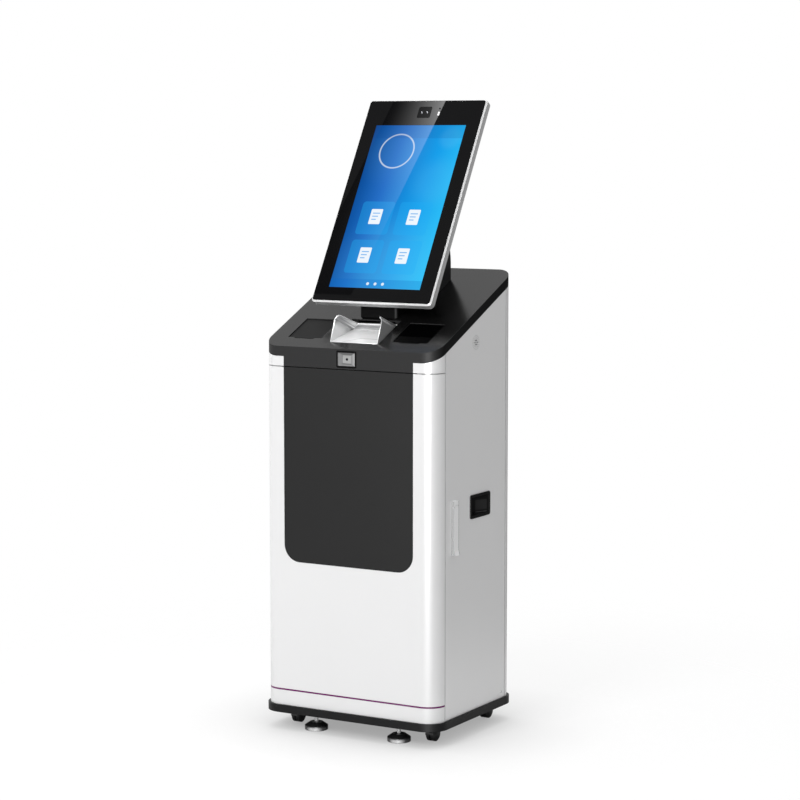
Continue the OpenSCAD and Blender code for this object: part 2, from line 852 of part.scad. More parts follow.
module code_reader_window() {
    color("#e4e4e2") difference() {
        on_front(code_x, code_z, -code_depth) linear_extrude(code_depth - code_sink - code_window_set)
            square([code_win_w - fit, code_win_h - fit], center = true);
        on_front(code_x, code_z, -code_depth - cut)
            cylinder(h = code_depth + 2 * cut, r = code_lens_r + fit / 2);
    }
}

module code_reader_lens() {
    color("#050505") on_front(code_x, code_z, -code_depth)
        cylinder(h = code_depth - code_sink, r = code_lens_r);
}

// Outline of the neck in plan, drawn in by t
module neck_plan(t) {
    front_y = -half_d + neck_front;
    column_y = -half_d + neck_column;
    rear_y = -half_d + neck_rear;
    translate([0, (front_y + rear_y) / 2])
        rounded_rect(neck_front_w - 2 * t, rear_y - front_y - 2 * t, neck_r - t);
    translate([0, (column_y + rear_y) / 2])
        rounded_rect(neck_rear_w - 2 * t, rear_y - column_y - 2 * t, neck_r - t);
}

// Side view of the neck between the desk and the display, drawn in by t and carried down by low
module neck_side(t, low) {
    front_y = -half_d + neck_front + t;
    rear_y = -half_d + neck_rear - 2 * t;
    d = frame_t + fit + t;
    rear_d = housing_d + fit + t;
    v = housing_low - fit - t;
    side_prism([[front_y, desk_over(front_y) + fit - low],
        behind_glass((front_y - glass_y - d * cos(tilt)) / sin(tilt), d), behind_glass(v, d),
        behind_glass(v, rear_d), behind_glass(neck_top - 2 * t, rear_d),
        [rear_y, desk_over(rear_y) + fit - low]], 2 * far);
}

// Hollow neck: a narrow front behind the chute and a wide rear column
module display_neck() {
    color("#161617") difference() {
        intersection() {
            linear_extrude(tall) neck_plan(0);
            neck_side(0, 0);
        }
        intersection() {
            linear_extrude(tall) neck_plan(desk_skin);
            neck_side(desk_skin, cut);
        }
    }
}

// Rear cover of the display, open towards the frame
module display_housing() {
    step = 8;
    h = housing_top - housing_low;
    color("#1f1f21") on_glass(0, housing_low + h / 2, -frame_t) mirror([0, 0, 1]) difference() {
        hull() {
            linear_extrude(housing_t - step) rounded_rect(housing_w, h, step, $fn = 32);
            linear_extrude(housing_t) rounded_rect(housing_w - 2 * step, h - 2 * step, step, $fn = 32);
        }
        translate([0, 0, -cut]) linear_extrude(housing_t - desk_skin + cut)
            rounded_rect(housing_w - 2 * step, h - 2 * step, step);
    }
}

// Aluminium tray with a bright bevel round the glass
module display_frame() {
    color("#c9cacb") difference() {
        on_glass(0, glass_h / 2, -frame_t) {
            linear_extrude(frame_t - bevel) rounded_rect(frame_w, frame_h, glass_r + bevel);
            translate([0, 0, frame_t - bevel]) hull() for (x = [-1, 1], y = [-1, 1])
                translate([x * (glass_w / 2 - glass_r), y * (glass_h / 2 - glass_r)])
                    cylinder(h = bevel, r1 = glass_r + bevel, r2 = glass_r + fit, $fn = 32);
        }
        on_glass(0, glass_h / 2, -glass_t) linear_extrude(glass_t + cut)
            rounded_rect(glass_w + fit, glass_h + fit, glass_r);
        on_glass(0, glass_h / 2, -frame_t + frame_back) linear_extrude(frame_t)
            rounded_rect(glass_w - 2 * bevel, glass_h - 2 * bevel, glass_r);
    }
}

module cover_glass() {
    color("#151517") difference() {
        on_glass(0, glass_h / 2, -glass_t) linear_extrude(glass_t)
            rounded_rect(glass_w - fit, glass_h - fit, glass_r);
        on_glass(0, screen_low + screen_h / 2, -glass_t - cut) linear_extrude(glass_t + 2 * cut)
            square([screen_w, screen_h], center = true);
        on_glass(0, camera_v, -recess) linear_extrude(recess + cut)
            rounded_rect(camera_w + fit, camera_h + fit, camera_r);
        on_glass(lamp_x, lamp_v, -recess) linear_extrude(recess + cut)
            rounded_rect(lamp_w + fit, lamp_h + fit, lamp_r);
        on_glass(lamp_x, dot_v, -recess) cylinder(h = recess + cut, r = dot_r + fit / 2);
    }
}

module screen_panel() {
    back = 12;
    lap = 10;
    set_in = 0.1;
    color("#1c6fc0") {
        on_glass(0, screen_low + screen_h / 2, -glass_t - back) linear_extrude(glass_t + back - set_in)
            square([screen_w - fit, screen_h - fit], center = true);
        on_glass(0, screen_low + screen_h / 2, -glass_t - back) linear_extrude(back - fit)
            square([screen_w + 2 * lap, screen_h + 2 * lap], center = true);
    }
}

module camera_window() {
    color("#232327") difference() {
        on_glass(0, camera_v, -recess) linear_extrude(recess_fill) rounded_rect(camera_w, camera_h, camera_r);
        for (x = [-1, 1])
            on_glass(x * lens_gap / 2, camera_v, -recess - cut)
                cylinder(h = recess + 2 * cut, r = lens_r + fit / 2);
    }
}

module camera_lenses() {
    color("#0a0a12") for (x = [-1, 1])
        on_glass(x * lens_gap / 2, camera_v, -recess) cylinder(h = recess_fill, r = lens_r);
}

module fill_light() {
    color("#ffffff") on_glass(lamp_x, lamp_v, -recess) linear_extrude(recess_fill)
        rounded_rect(lamp_w, lamp_h, lamp_r);
}

module presence_sensor() {
    color("#000000") on_glass(lamp_x, dot_v, -recess) cylinder(h = recess_fill, r = dot_r);
}

module printer_shelf() {
    l = 2 * (post_x - fit);
    d = 2 * (post_y + post);
    color("#b4b6b8") {
        translate([-l / 2, -d / 2, shelf_z]) cube([l, d, sheet]);
        for (y = [-d / 2, d / 2 - sheet]) translate([-l / 2, y, shelf_z - shelf_fold])
            cube([l, sheet, shelf_fold]);
    }
}

// Roll printer with a channel for the platen and a mouth towards the well
module printer_body() {
    base = shelf_z + sheet;
    channel_r = platen_r + 1.5;
    mouth_drop = 4;
    color("#2c2c2f") difference() {
        translate([-printer_w / 2, printer_front, base]) cube([printer_w, printer_d, printer_top - base]);
        translate([0, platen_y, platen_z]) rotate([0, 90, 0])
            cylinder(h = printer_w - 2 * platen_bearing, r = channel_r, center = true);
        translate([-mouth_w / 2, printer_front - cut, platen_z + platen_r - mouth_drop])
            cube([mouth_w, platen_y - printer_front + cut, printer_top - platen_z]);
        translate([0, platen_y, platen_z]) rotate([0, 90, 0])
            cylinder(h = printer_w + 2 * cut, r = platen_shaft_r + running, center = true);
    }
}

module platen_roller() {
    end_gap = 1;
    shaft_past = 3;
    color("#3a3a3a") translate([0, platen_y, platen_z]) rotate([0, 90, 0]) {
        cylinder(h = printer_w - 2 * (platen_bearing + end_gap), r = platen_r, center = true);
        cylinder(h = printer_w + 2 * shaft_past, r = platen_shaft_r, center = true);
    }
}

module roll_holder() {
    arm_t = 4;
    arm_d = 36;
    arm_gap = 3;
    arm_x = roll_w / 2 + arm_gap;
    base = shelf_z + sheet;
    color("#8d9092") {
        for (x = [-1, 1]) translate([x * (arm_x + arm_t / 2), roll_y, base]) {
            translate([-arm_t / 2, -arm_d / 2, 0]) cube([arm_t, arm_d, roll_z - base]);
            translate([0, 0, roll_z - base]) rotate([0, 90, 0])
                cylinder(h = arm_t, r = arm_d / 2, center = true);
        }
        translate([-arm_x - arm_t, roll_y - arm_d / 2, base]) cube([2 * (arm_x + arm_t), arm_d, arm_t]);
        translate([0, roll_y, roll_z]) rotate([0, 90, 0])
            cylinder(h = 2 * arm_x, r = roll_core_r, center = true);
    }
}

module paper_roll() {
    color("#fafaf7") translate([0, roll_y, roll_z]) rotate([0, 90, 0]) difference() {
        cylinder(h = roll_w, r = roll_r, center = true);
        cylinder(h = roll_w + 2 * cut, r = roll_core_r + running, center = true);
    }
}

// Ribbed computer case, open underneath
module computer() {
    d = 180;
    slots = 9;
    slot = 6;
    edge = 10;
    beside = 5;
    pitch = (computer_w - 2 * edge - slot) / (slots - 1);
    color("#3b3d40") translate([-computer_w - beside, -d / 2, cabinet_z]) difference() {
        cube([computer_w, d, computer_h]);
        for (k = [0:slots - 1])
            translate([edge + k * pitch, 2 * slot, computer_h - slot]) cube([slot, d - 4 * slot, slot + cut]);
        translate([sheet, sheet, -cut])
            cube([computer_w - 2 * sheet, d - 2 * sheet, computer_h - slot - sheet + cut]);
    }
}

// Vented power supply case, open underneath
module power_supply() {
    w = 100;
    d = 160;
    h = 42;
    left = 40;
    pitch = 20;
    vent_r = 4;
    color("#a5a8aa") translate([left, -d / 2, cabinet_z]) difference() {
        cube([w, d, h]);
        translate([sheet, sheet, -cut]) cube([w - 2 * sheet, d - 2 * sheet, h - sheet + cut]);
        for (row = [0:5], col = [0:3])
            translate([(col + 1) * pitch, (row + 1.5) * pitch, h - 2 * sheet])
                cylinder(h = 2 * sheet + cut, r = vent_r);
    }
}

// Mains inlet with a socket below and a rocker above, in the rear wall
module power_inlet() {
    rim = 4;
    depth = 32;
    socket = [24, 18, 17];
    socket_low = 20;
    pocket = [20, 14, 14];
    pin = [2, 15, 4];
    pin_pitch = 7;
    pin_low = 14;
    color("#161616") difference() {
        union() {
            translate([inlet_x - inlet_w / 2 - rim, half_d, inlet_z - inlet_h / 2 - rim])
                cube([inlet_w + 2 * rim, inlet_flange, inlet_h + 2 * rim]);
            translate([inlet_x - inlet_w / 2, half_d - depth, inlet_z - inlet_h / 2])
                cube([inlet_w, depth + cut, inlet_h]);
        }
        translate([inlet_x - socket[0] / 2, half_d - socket[1], inlet_z - socket_low])
            cube([socket[0], socket[1] + inlet_flange + cut, socket[2]]);
        translate([inlet_x - pocket[0] / 2, half_d - pocket[1], rocker_z - pocket[2] / 2])
            cube([pocket[0], pocket[1] + inlet_flange + cut, pocket[2]]);
        translate([inlet_x, rocker_y, rocker_z]) rotate([0, 90, 0])
            cylinder(h = rocker_pin_l + cut, r = rocker_pin_r + running, center = true);
    }
    color("silver") for (k = [-1, 0, 1])
        translate([inlet_x + k * pin_pitch - pin[0] / 2, half_d - socket[1] - cut,
            inlet_z - pin_low + (k == 0 ? pin[2] : 0)]) cube([pin[0], pin[1] + cut, pin[2]]);
}

// Rocker that tips on a cross pin, stored with its lower end pressed in
module power_rocker() {
    w = 18;
    half = 6.2;
    out = 4.6;
    waist = 3.6;
    inner = 3;
    inner_half = 4;
    color("#202020") translate([inlet_x, rocker_y, rocker_z]) {
        rotate([-rocker_tilt, 0, 0])
            side_prism([[-inner, -inner_half], [out, -half], [waist, 0], [out, half],
                [-inner, inner_half]], w);
        rotate([0, 90, 0]) cylinder(h = rocker_pin_l, r = rocker_pin_r, center = true);
    }
}

// Upright pins that carry the service door, one on the plinth and one under the desk
module hinge_pivots() {
    color("silver") {
        translate([pivot_x, pivot_y, cabinet_z]) cylinder(h = pivot_h, r = pivot_r);
        intersection() {
            translate([pivot_x, pivot_y, desk_under(pivot_y) - 3 * pivot_h]) cylinder(h = tall, r = pivot_r);
            under_desk(desk_t - desk_skin / cos(desk_angle));
        }
    }
}

// Ear of the service door round a hinge pin
module door_ear(z) {
    translate([0, 0, z]) linear_extrude(ear_t) difference() {
        translate([pivot_x - pivot_in, pivot_y - ear_l])
            square([2 * pivot_in - sheet / 2, ear_l + pivot_back - sheet / 2]);
        translate([pivot_x, pivot_y]) circle(pivot_r + running);
    }
}

module service_door() {
    color("#dcdcdc") difference() {
        union() {
            side_panel(door_half);
            door_ear(cabinet_z + ear_gap);
            door_ear(desk_under(pivot_y) - 3 * pivot_h + ear_gap);
        }
        on_side(handle_y, handle_z, -fold) cylinder(h = fold + cut, r = spindle_r + running);
        translate([pivot_x, pivot_y, cabinet_z]) cylinder(h = ear_gap, r = pivot_r + running);
    }
}

module handle_base() {
    plate_r = 4;
    color("#b8babc") difference() {
        on_side(handle_y, handle_low + handle_l / 2, 0) linear_extrude(handle_plate)
            rounded_rect(handle_w, handle_l, plate_r);
        on_side(handle_y, handle_z, -cut) cylinder(h = handle_plate + 2 * cut, r = spindle_r + running);
    }
}

module hinge_screw() {
    screw_r = 3;
    screw_top_r = 2.2;
    screw_t = 1.2;
    color("#8a8c8e") on_side(pivot_y, cabinet_z + screw_rise, 0)
        cylinder(h = screw_t, r1 = screw_r, r2 = screw_top_r);
}

// Rod across the handle at the lever's pin, of a given radius and length
module lever_rod(r, l) {
    translate([lever_pin_x, handle_y, lever_pin_z]) rotate([90, 0, 0]) cylinder(h = l, r = r, center = true);
}

// Lock spindle with its head outside, two ears for the lever's pin, and its cam inside the door
module handle_spindle() {
    head_set = 1;
    color("#9fa2a4") difference() {
        union() {
            translate([cam_x, handle_y, handle_z]) rotate([0, 90, 0])
                cylinder(h = lever_pin_x - cam_x, r = spindle_r);
            translate([cam_x, handle_y - spindle_r, handle_z]) cube([cam_t, 2 * spindle_r, cam_l]);
            translate([lever_x, handle_y - handle_face / 2, head_low])
                cube([lever_t, handle_face, head_h - head_set]);
            difference() {
                union() {
                    lever_rod(lever_t / 2, handle_face);
                    translate([lever_x, handle_y - handle_face / 2, lever_pin_z])
                        cube([lever_t, handle_face, head_low - lever_pin_z]);
                }
                translate([lever_x - cut, handle_y - handle_face / 2 + lever_ear, lever_pin_z - lever_t])
                    cube([lever_t + 2 * cut, handle_face - 2 * lever_ear, lever_t + head_low - lever_pin_z]);
            }
        }
        lever_rod(lever_pin_r + running, handle_w);
    }
}

// Hanging lever on its pin, flared at its lower end for a fingertip
module handle_lever() {
    flare = 14;
    tip_in = 1.5;
    tip_out = 3.5;
    tip_rise = 2;
    top = lever_pin_z - lever_t / 2 - lever_gap;
    knuckle = handle_face - 2 * lever_ear - 2 * lever_gap;
    color("#c2c4c6") {
        translate([lever_x, handle_y - handle_face / 2, handle_low + flare])
            cube([lever_t, handle_face, top - handle_low - flare]);
        translate([lever_x, handle_y - knuckle / 2, top - cut])
            cube([lever_t, knuckle, lever_pin_z - top + cut]);
        lever_rod(lever_t / 2, knuckle);
        lever_rod(lever_pin_r, handle_face - 1);
        translate([0, handle_y + handle_face / 2, 0]) rotate([90, 0, 0]) linear_extrude(handle_face)
            polygon([[lever_x, handle_low + flare], [lever_x + tip_in, handle_low + tip_rise],
                [lever_x + lever_t + tip_out, handle_low], [lever_x + lever_t, handle_low + flare]]);
    }
}

// Levelling foot: a metal rim, a black cone and a threaded stud
module foot(x, y) {
    chamfer = 1;
    cone_r = pad_r * 0.58;
    past = 3;
    color("#55575a") translate([x * foot_x, y * foot_y, 0]) {
        rotate_extrude()
            polygon([[0, 0], [pad_r - chamfer, 0], [pad_r, chamfer], [pad_r, pad_rim - chamfer],
                [pad_r - chamfer, pad_rim], [cone_r, pad_rim + pad_cone], [0, pad_rim + pad_cone]]);
        cylinder(h = cabinet_z + nut_h + foot_travel + past, r = stud_r);
    }
}

module foot_front_left() {
    foot(-1, -1);
}

module foot_front_right() {
    foot(1, -1);
}

module foot_rear_left() {
    foot(-1, 1);
}

module foot_rear_right() {
    foot(1, 1);
}

// Swivelling fork: a web between the wheels, a hood over them and a stem in the plinth
module caster_fork(x, y) {
    horn_w = 14;
    horn_t = 3;
    collar_r = 9;
    rib_l = 16;
    web_r = wheel_r - 3;
    past = 2;
    color("#19191b") translate([x * caster_x, y * caster_y, 0]) difference() {
        union() {
            translate([0, 0, horn_z]) cylinder(h = cabinet_z + past - horn_z, r = stem_r);
            translate([0, 0, horn_z]) cylinder(h = boss_low - horn_z - fit, r = collar_r);
            translate([-horn_w / 2, 0, horn_z]) cube([horn_w, caster_trail, horn_t]);
            translate([0, caster_trail, wheel_z]) rotate([0, 90, 0]) {
                cylinder(h = 2 * web_half, r = web_r, center = true);
                difference() {
                    cylinder(h = 2 * tread_half, r = hood_out, center = true);
                    cylinder(h = 2 * tread_half + cut, r = hood_in, center = true);
                    translate([wheel_r, 0, 0])
                        cube([2 * wheel_r, 4 * wheel_r, 4 * tread_half], center = true);
                }
            }
            translate([-web_half, caster_trail - rib_l / 2, wheel_z])
                cube([2 * web_half, rib_l, hood_out - web_gap]);
        }
        translate([0, caster_trail, wheel_z]) rotate([0, 90, 0])
            cylinder(h = 4 * web_half, r = axle_r + running, center = true);
    }
}

// Pair of domed wheels on one axle
module caster_wheels(x, y) {
    color("#101012") translate([x * caster_x, y * caster_y + caster_trail, wheel_z]) rotate([0, 90, 0]) {
        cylinder(h = 2 * (web_half + web_gap + cut), r = axle_r, center = true);
        for (m = [0, 1]) mirror([0, 0, m]) intersection() {
            translate([0, 0, web_half + web_gap]) cylinder(h = wheel_half, r = wheel_r);
            translate([0, 0, dome_u]) sphere(dome_r);
        }
    }
}

module caster_fork_front_left() {
    caster_fork(-1, -1);
}

module caster_fork_front_right() {
    caster_fork(1, -1);
}

module caster_fork_rear_left() {
    caster_fork(-1, 1);
}

module caster_fork_rear_right() {
    caster_fork(1, 1);
}

module caster_wheels_front_left() {
    caster_wheels(-1, -1);
}

module caster_wheels_front_right() {
    caster_wheels(1, -1);
}

module caster_wheels_rear_left() {
    caster_wheels(-1, 1);
}

module caster_wheels_rear_right() {
    caster_wheels(1, 1);
}

base_plinth();
foot_lock_nuts();
corner_posts();
kick_panel();
accent_strip();
front_shell();
front_panel();
upper_trims();
rear_shell();
left_side_panel();
left_grip();
left_speaker();
top_deck();
outlet_well();
document_chute();
card_reader();
scanner_body();
scanner_glass();
code_reader_surround();
code_reader_bezel();
code_reader_window();
code_reader_lens();
display_neck();
display_housing();
display_frame();
cover_glass();
screen_panel();
camera_window();
camera_lenses();
fill_light();
presence_sensor();
printer_shelf();
printer_body();
platen_roller();
roll_holder();
paper_roll();
computer();
power_supply();
power_inlet();
power_rocker();
hinge_pivots();
service_door();
right_grip();
right_speaker();
handle_base();
hinge_screw();
handle_spindle();
handle_lever();
foot_front_left();
foot_front_right();
foot_rear_left();
foot_rear_right();
caster_fork_front_left();
caster_fork_front_right();
caster_fork_rear_left();
caster_fork_rear_right();
caster_wheels_front_left();
caster_wheels_front_right();
caster_wheels_rear_left();
caster_wheels_rear_right();
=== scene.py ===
import json
import math

import bmesh
import bpy
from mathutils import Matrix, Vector


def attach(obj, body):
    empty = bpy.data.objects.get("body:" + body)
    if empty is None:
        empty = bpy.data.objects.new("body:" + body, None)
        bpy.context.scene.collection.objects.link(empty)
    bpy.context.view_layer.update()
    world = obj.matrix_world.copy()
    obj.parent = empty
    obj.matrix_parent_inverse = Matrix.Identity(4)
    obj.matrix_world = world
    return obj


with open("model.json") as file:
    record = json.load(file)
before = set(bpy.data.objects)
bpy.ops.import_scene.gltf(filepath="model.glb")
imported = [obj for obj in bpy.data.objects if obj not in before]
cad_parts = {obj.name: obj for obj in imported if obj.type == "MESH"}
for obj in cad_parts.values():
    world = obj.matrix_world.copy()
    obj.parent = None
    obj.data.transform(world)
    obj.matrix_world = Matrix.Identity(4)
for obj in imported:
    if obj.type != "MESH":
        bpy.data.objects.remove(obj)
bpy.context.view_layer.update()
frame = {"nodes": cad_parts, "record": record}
nodes = frame["nodes"]
print("frame loaded:", len(nodes), "nodes")

# camera, fitted to the photograph

shot = {"lens": 107.92, "sensor": 36, "place": (3.1115, -5.3016, 1.5172), "azimuth": 30.15, "elevation": 6.23}


def setCamera():
    lens = bpy.data.cameras.new("shot")
    lens.lens = shot["lens"]
    lens.sensor_width = shot["sensor"]
    eye = bpy.data.objects.new("shot", lens)
    bpy.context.collection.objects.link(eye)
    eye.location = shot["place"]
    eye.rotation_euler = (math.radians(90 - shot["elevation"]), 0, math.radians(shot["azimuth"]))
    bpy.context.scene.camera = eye
    bpy.context.scene.view_settings.view_transform = "Standard"


setCamera()
print("camera set")

# shader helpers: a wire is one output of a node, a finish is one node tree


class Wire:
    def __init__(self, finish, socket):
        self.finish = finish
        self.socket = socket

    def __add__(self, other):
        return self.finish.maths("ADD", self, other)

    def __radd__(self, other):
        return self.finish.maths("ADD", other, self)

    def __sub__(self, other):
        return self.finish.maths("SUBTRACT", self, other)

    def __rsub__(self, other):
        return self.finish.maths("SUBTRACT", other, self)

    def __mul__(self, other):
        return self.finish.maths("MULTIPLY", self, other)

    def __rmul__(self, other):
        return self.finish.maths("MULTIPLY", other, self)

    def __truediv__(self, other):
        return self.finish.maths("DIVIDE", self, other)

    def __rtruediv__(self, other):
        return self.finish.maths("DIVIDE", other, self)

    def __pow__(self, other):
        return self.finish.maths("POWER", self, other)

    def __rpow__(self, other):
        return self.finish.maths("POWER", other, self)

    def __gt__(self, other):
        return self.finish.maths("GREATER_THAN", self, other)

    def __lt__(self, other):
        return self.finish.maths("LESS_THAN", self, other)

    def __neg__(self):
        return self.finish.maths("MULTIPLY", self, -1.0)

    def __abs__(self):
        return self.finish.maths("ABSOLUTE", self)

    def other(self, name):
        return Wire(self.finish, self.socket.node.outputs[name])


class Finish:
    def __init__(self, name, tree=None):
        if tree is None:
            self.material = bpy.data.materials.new(name)
            self.material.use_nodes = True
            tree = self.material.node_tree
        tree.nodes.clear()
        self.tree = tree

    def add(self, kind, settings=None, values=None, out=0):
        made = self.tree.nodes.new("ShaderNode" + kind)
        for key, value in (settings or {}).items():
            if key == "stops":
                ramp = made.color_ramp.elements
                while len(ramp) < len(value):
                    ramp.new(0.5)
                for stop, (at, colour) in zip(ramp, value):
                    stop.position = at
                    stop.color = tuple(colour) + (1,)
            else:
                setattr(made, key, value)
        for key, value in (values or {}).items():
            self.feed(made.inputs[key], value)
        return Wire(self, made.outputs[out]) if len(made.outputs) else made

    def feed(self, socket, value):
        if isinstance(value, Wire):
            self.tree.links.new(value.socket, socket)
        elif socket.type == "RGBA" and len(value) == 3:
            socket.default_value = tuple(value) + (1,)
        else:
            socket.default_value = value

    def maths(self, operation, first, second=0.0):
        return self.add("Math", {"operation": operation}, {0: first, 1: second})

    def place(self):
        return self.add("TexCoord", out="Object")

    def split(self, vector):
        return self.add("SeparateXYZ", None, {"Vector": vector})

    def facing(self):
        return self.split(self.add("NewGeometry", out="True Normal"))

    def noise(self, place, scale, detail, rough):
        values = {"Vector": place, "Scale": scale, "Detail": detail, "Roughness": rough}
        return self.add("TexNoise", None, values)

    def streaks(self, place, scale, detail=4.0, rough=0.65):
        stretched = self.add("Mapping", None, {"Vector": place, "Scale": scale})
        return self.noise(stretched, 1.0, detail, rough)

    def around(self, middle, *swings):
        for wire, amount in swings:
            middle = middle + (wire - 0.5) * amount
        return middle

    def span(self, value, low, high, toLow=0.0, toHigh=1.0):
        values = {"Value": value, "From Min": low, "From Max": high, "To Min": toLow, "To Max": toHigh}
        return self.add("MapRange", {"interpolation_type": "SMOOTHSTEP"}, values)

    def blend(self, factor, first, second, mode="MIX"):
        settings = {"data_type": "RGBA", "blend_type": mode}
        return self.add("Mix", settings, {0: factor, 6: first, 7: second}, out=2)

    def bump(self, height, strength, depth, normal=None):
        values = {"Height": height, "Strength": strength, "Distance": depth}
        if normal is not None:
            values["Normal"] = normal
        return self.add("Bump", None, values)

    def softEdge(self, radius):
        return self.add("Bevel", {"samples": 6}, {"Radius": radius})

    def principled(self, **sockets):
        values = {key.replace("_", " "): value for key, value in sockets.items()}
        return self.add("BsdfPrincipled", None, values)

    def output(self, shader):
        self.add("OutputMaterial", None, {"Surface": shader})
        return self.material

    def surface(self, **sockets):
        return self.output(self.principled(**sockets))


def length(first, second):
    return (first ** 2 + second ** 2) ** 0.5


# display plane: u across, v up the glass, depth behind it

glassPlane = {"tilt": 30.3, "y": -0.097, "z": 1.1052}


def glassSpot(f):
    spot = f.split(f.place())
    lean = math.radians(glassPlane["tilt"])
    back = spot.other("Y") - glassPlane["y"]
    rise = spot.other("Z") - glassPlane["z"]
    return (spot.other("X"), back * math.sin(lean) + rise * math.cos(lean),
            back * math.cos(lean) - rise * math.sin(lean))


# desk plane: x across, v up the slope from the front edge, h out of the desk

deskPlane = {"slope": 24.2, "y": -0.207, "z": 0.9928}


def deskPoint(x, v, h):
    lean = math.radians(deskPlane["slope"])
    return Vector((x, deskPlane["y"] + v * math.cos(lean) - h * math.sin(lean),
                   deskPlane["z"] + v * math.sin(lean) + h * math.cos(lean)))


def deskSpot(f):
    spot = f.split(f.place())
    lean = math.radians(deskPlane["slope"])
    back = spot.other("Y") - deskPlane["y"]
    rise = spot.other("Z") - deskPlane["z"]
    return (spot.other("X"), back * math.cos(lean) + rise * math.sin(lean),
            rise * math.cos(lean) - back * math.sin(lean))


# white paint: glossy outside, matt inside with painted shade, painted shade in and round the speaker holes,
# and purple painted just beside the strip as shade in its seams

whitePaint = {
    "colour": (0.88, 0.88, 0.883), "dull": 0.985, "patches": (0.3, 0.7), "edge": 0.0009,
    "rough": 0.36, "cloudRough": 0.06, "dustRough": 0.04, "coat": 0.7, "coatRough": 0.09,
    "peel": (520, 2.0, 0.45), "cloud": (2.3, 3.0, 0.6), "dust": (2600, 2.0, 0.7), "bump": (0.1, 0.00022),
    "grille": {"y": -0.0025, "z": 1.006, "ring": 0.0058, "count": 6, "halo": (0.00256, 0.00176),
               "near": 0.00812, "nearWeight": 0.4, "far": 0.0145, "farWeight": 0.6, "wallFacing": 0.5,
               "side": 0.2, "colour": (0.006, 0.006, 0.006)},
    "strip": {"z": 0.1056, "reach": 0.0022, "end": -0.1608, "colour": (0.15, 0.002, 0.11)},
    "inside": {"half": (0.255, 0.207), "corner": 0.046, "skin": 0.0006, "colour": (0.66, 0.66, 0.663),
               "rough": 0.3},
}


# painted shade: the speaker holes' walls and a ring round each hole are painted near black
def grilleShade(f, spot):
    grille = whitePaint["grille"]
    back, up = spot.other("Y") - grille["y"], spot.other("Z") - grille["z"]
    away = length(back, up)
    walls = (away < grille["near"]) * grille["nearWeight"] + (away < grille["far"]) * grille["farWeight"]
    walls = (abs(f.facing()) < grille["wallFacing"]) * walls
    turn = f.maths("PINGPONG", f.maths("ARCTAN2", up, back), math.pi / grille["count"])
    fromHole = length(away * f.maths("COSINE", turn) - grille["ring"], away * f.maths("SINE", turn))
    return f.maths("MAXIMUM", walls, f.span(fromHole, *grille["halo"])) * (abs(spot) > grille["side"])


def insideFace(f, spot):
    inside = whitePaint["inside"]
    aside = abs(spot) - (inside["half"][0] - inside["corner"])
    back = abs(spot.other("Y")) - (inside["half"][1] - inside["corner"])
    around = length(f.maths("MAXIMUM", aside, 0.0), f.maths("MAXIMUM", back, 0.0))
    deepest = f.maths("MINIMUM", f.maths("MAXIMUM", aside, back), 0.0)
    return around + deepest < inside["corner"] - inside["skin"]


def makeWhitePaint():
    f = Finish("whitePaint")
    look = whitePaint
    place = f.place()
    spot = f.split(place)
    inside = insideFace(f, spot)
    peel = f.noise(place, *look["peel"])
    cloud = f.noise(place, *look["cloud"])
    dust = f.noise(place, *look["dust"])
    base = Vector(look["colour"])
    colour = f.blend(f.span(cloud, *look["patches"]), base * look["dull"], base)
    # painted shade in and round the speaker holes
    colour = f.blend(grilleShade(f, spot), colour, look["grille"]["colour"])
    # painted shade: the white is painted purple just beside the strip, as shade in the seams round it
    strip = look["strip"]
    beside = (abs(spot.other("Z") - strip["z"]) < strip["reach"]) * (spot.other("Y") < strip["end"])
    colour = f.blend(beside, colour, strip["colour"])
    # painted shade: the inside faces are painted darker than the outside
    colour = f.blend(inside, colour, look["inside"]["colour"])
    rough = f.around(look["rough"], (cloud, look["cloudRough"]), (dust, look["dustRough"]))
    normal = f.bump(peel, *look["bump"], normal=f.softEdge(look["edge"]))
    return f.surface(Base_Color=colour, Roughness=rough + inside * look["inside"]["rough"], Normal=normal,
                     Coat_Weight=(1 - inside) * look["coat"], Coat_Roughness=look["coatRough"])


# black paint: the desk's upright edge is satin and painted paler facing front, darker facing aside, as
# painted light and shade; the rear of the neck and housing is painted paler than its front, painted light,
# and coated

blackPaint = {
    "plinth": {"colour": (0.0068, 0.0068, 0.0071), "rough": 0.42, "gloss": 0.18, "grain": 1500,
               "edge": 0.0012},
    "panel": {"colour": (0.0052, 0.0052, 0.0054), "rough": 0.5, "gloss": 0.24, "grain": 1900, "edge": 0.0005},
    "desk": {"colour": (0.0048, 0.0048, 0.0049), "rough": 0.2, "gloss": 0.41, "grain": 1900, "edge": 0.0018,
             "upright": {"facing": 0.5, "rough": 0.3, "gloss": 0.1, "turn": (0.1, 0.9),
                         "front": (0.03, 0.03, 0.0305), "side": (0.009, 0.009, 0.0092),
                         "fleck": (0.04, 0.04, 0.041)}},
    "neck": {"colour": (0.0012, 0.0012, 0.0013), "rough": 0.4, "gloss": 0.06, "grain": 1700, "edge": 0.0012,
             "rear": {"y": (0.02, 0.09), "facing": -0.2, "colour": (0.017, 0.017, 0.0175), "fleck": 1.5}},
}
blackGrain = {"grain": (3.0, 0.6), "cloud": (4.0, 4.0, 0.6), "shades": (0.9, 1.12),
              "fleck": (1.0, 0.5), "fleckScale": 1.7, "fleckFrom": (0.62, 0.78), "fleckShade": 1.9,
              "cloudRough": 0.08, "grainRough": 0.14, "bump": (0.16, 0.00012), "coatRough": 0.28}


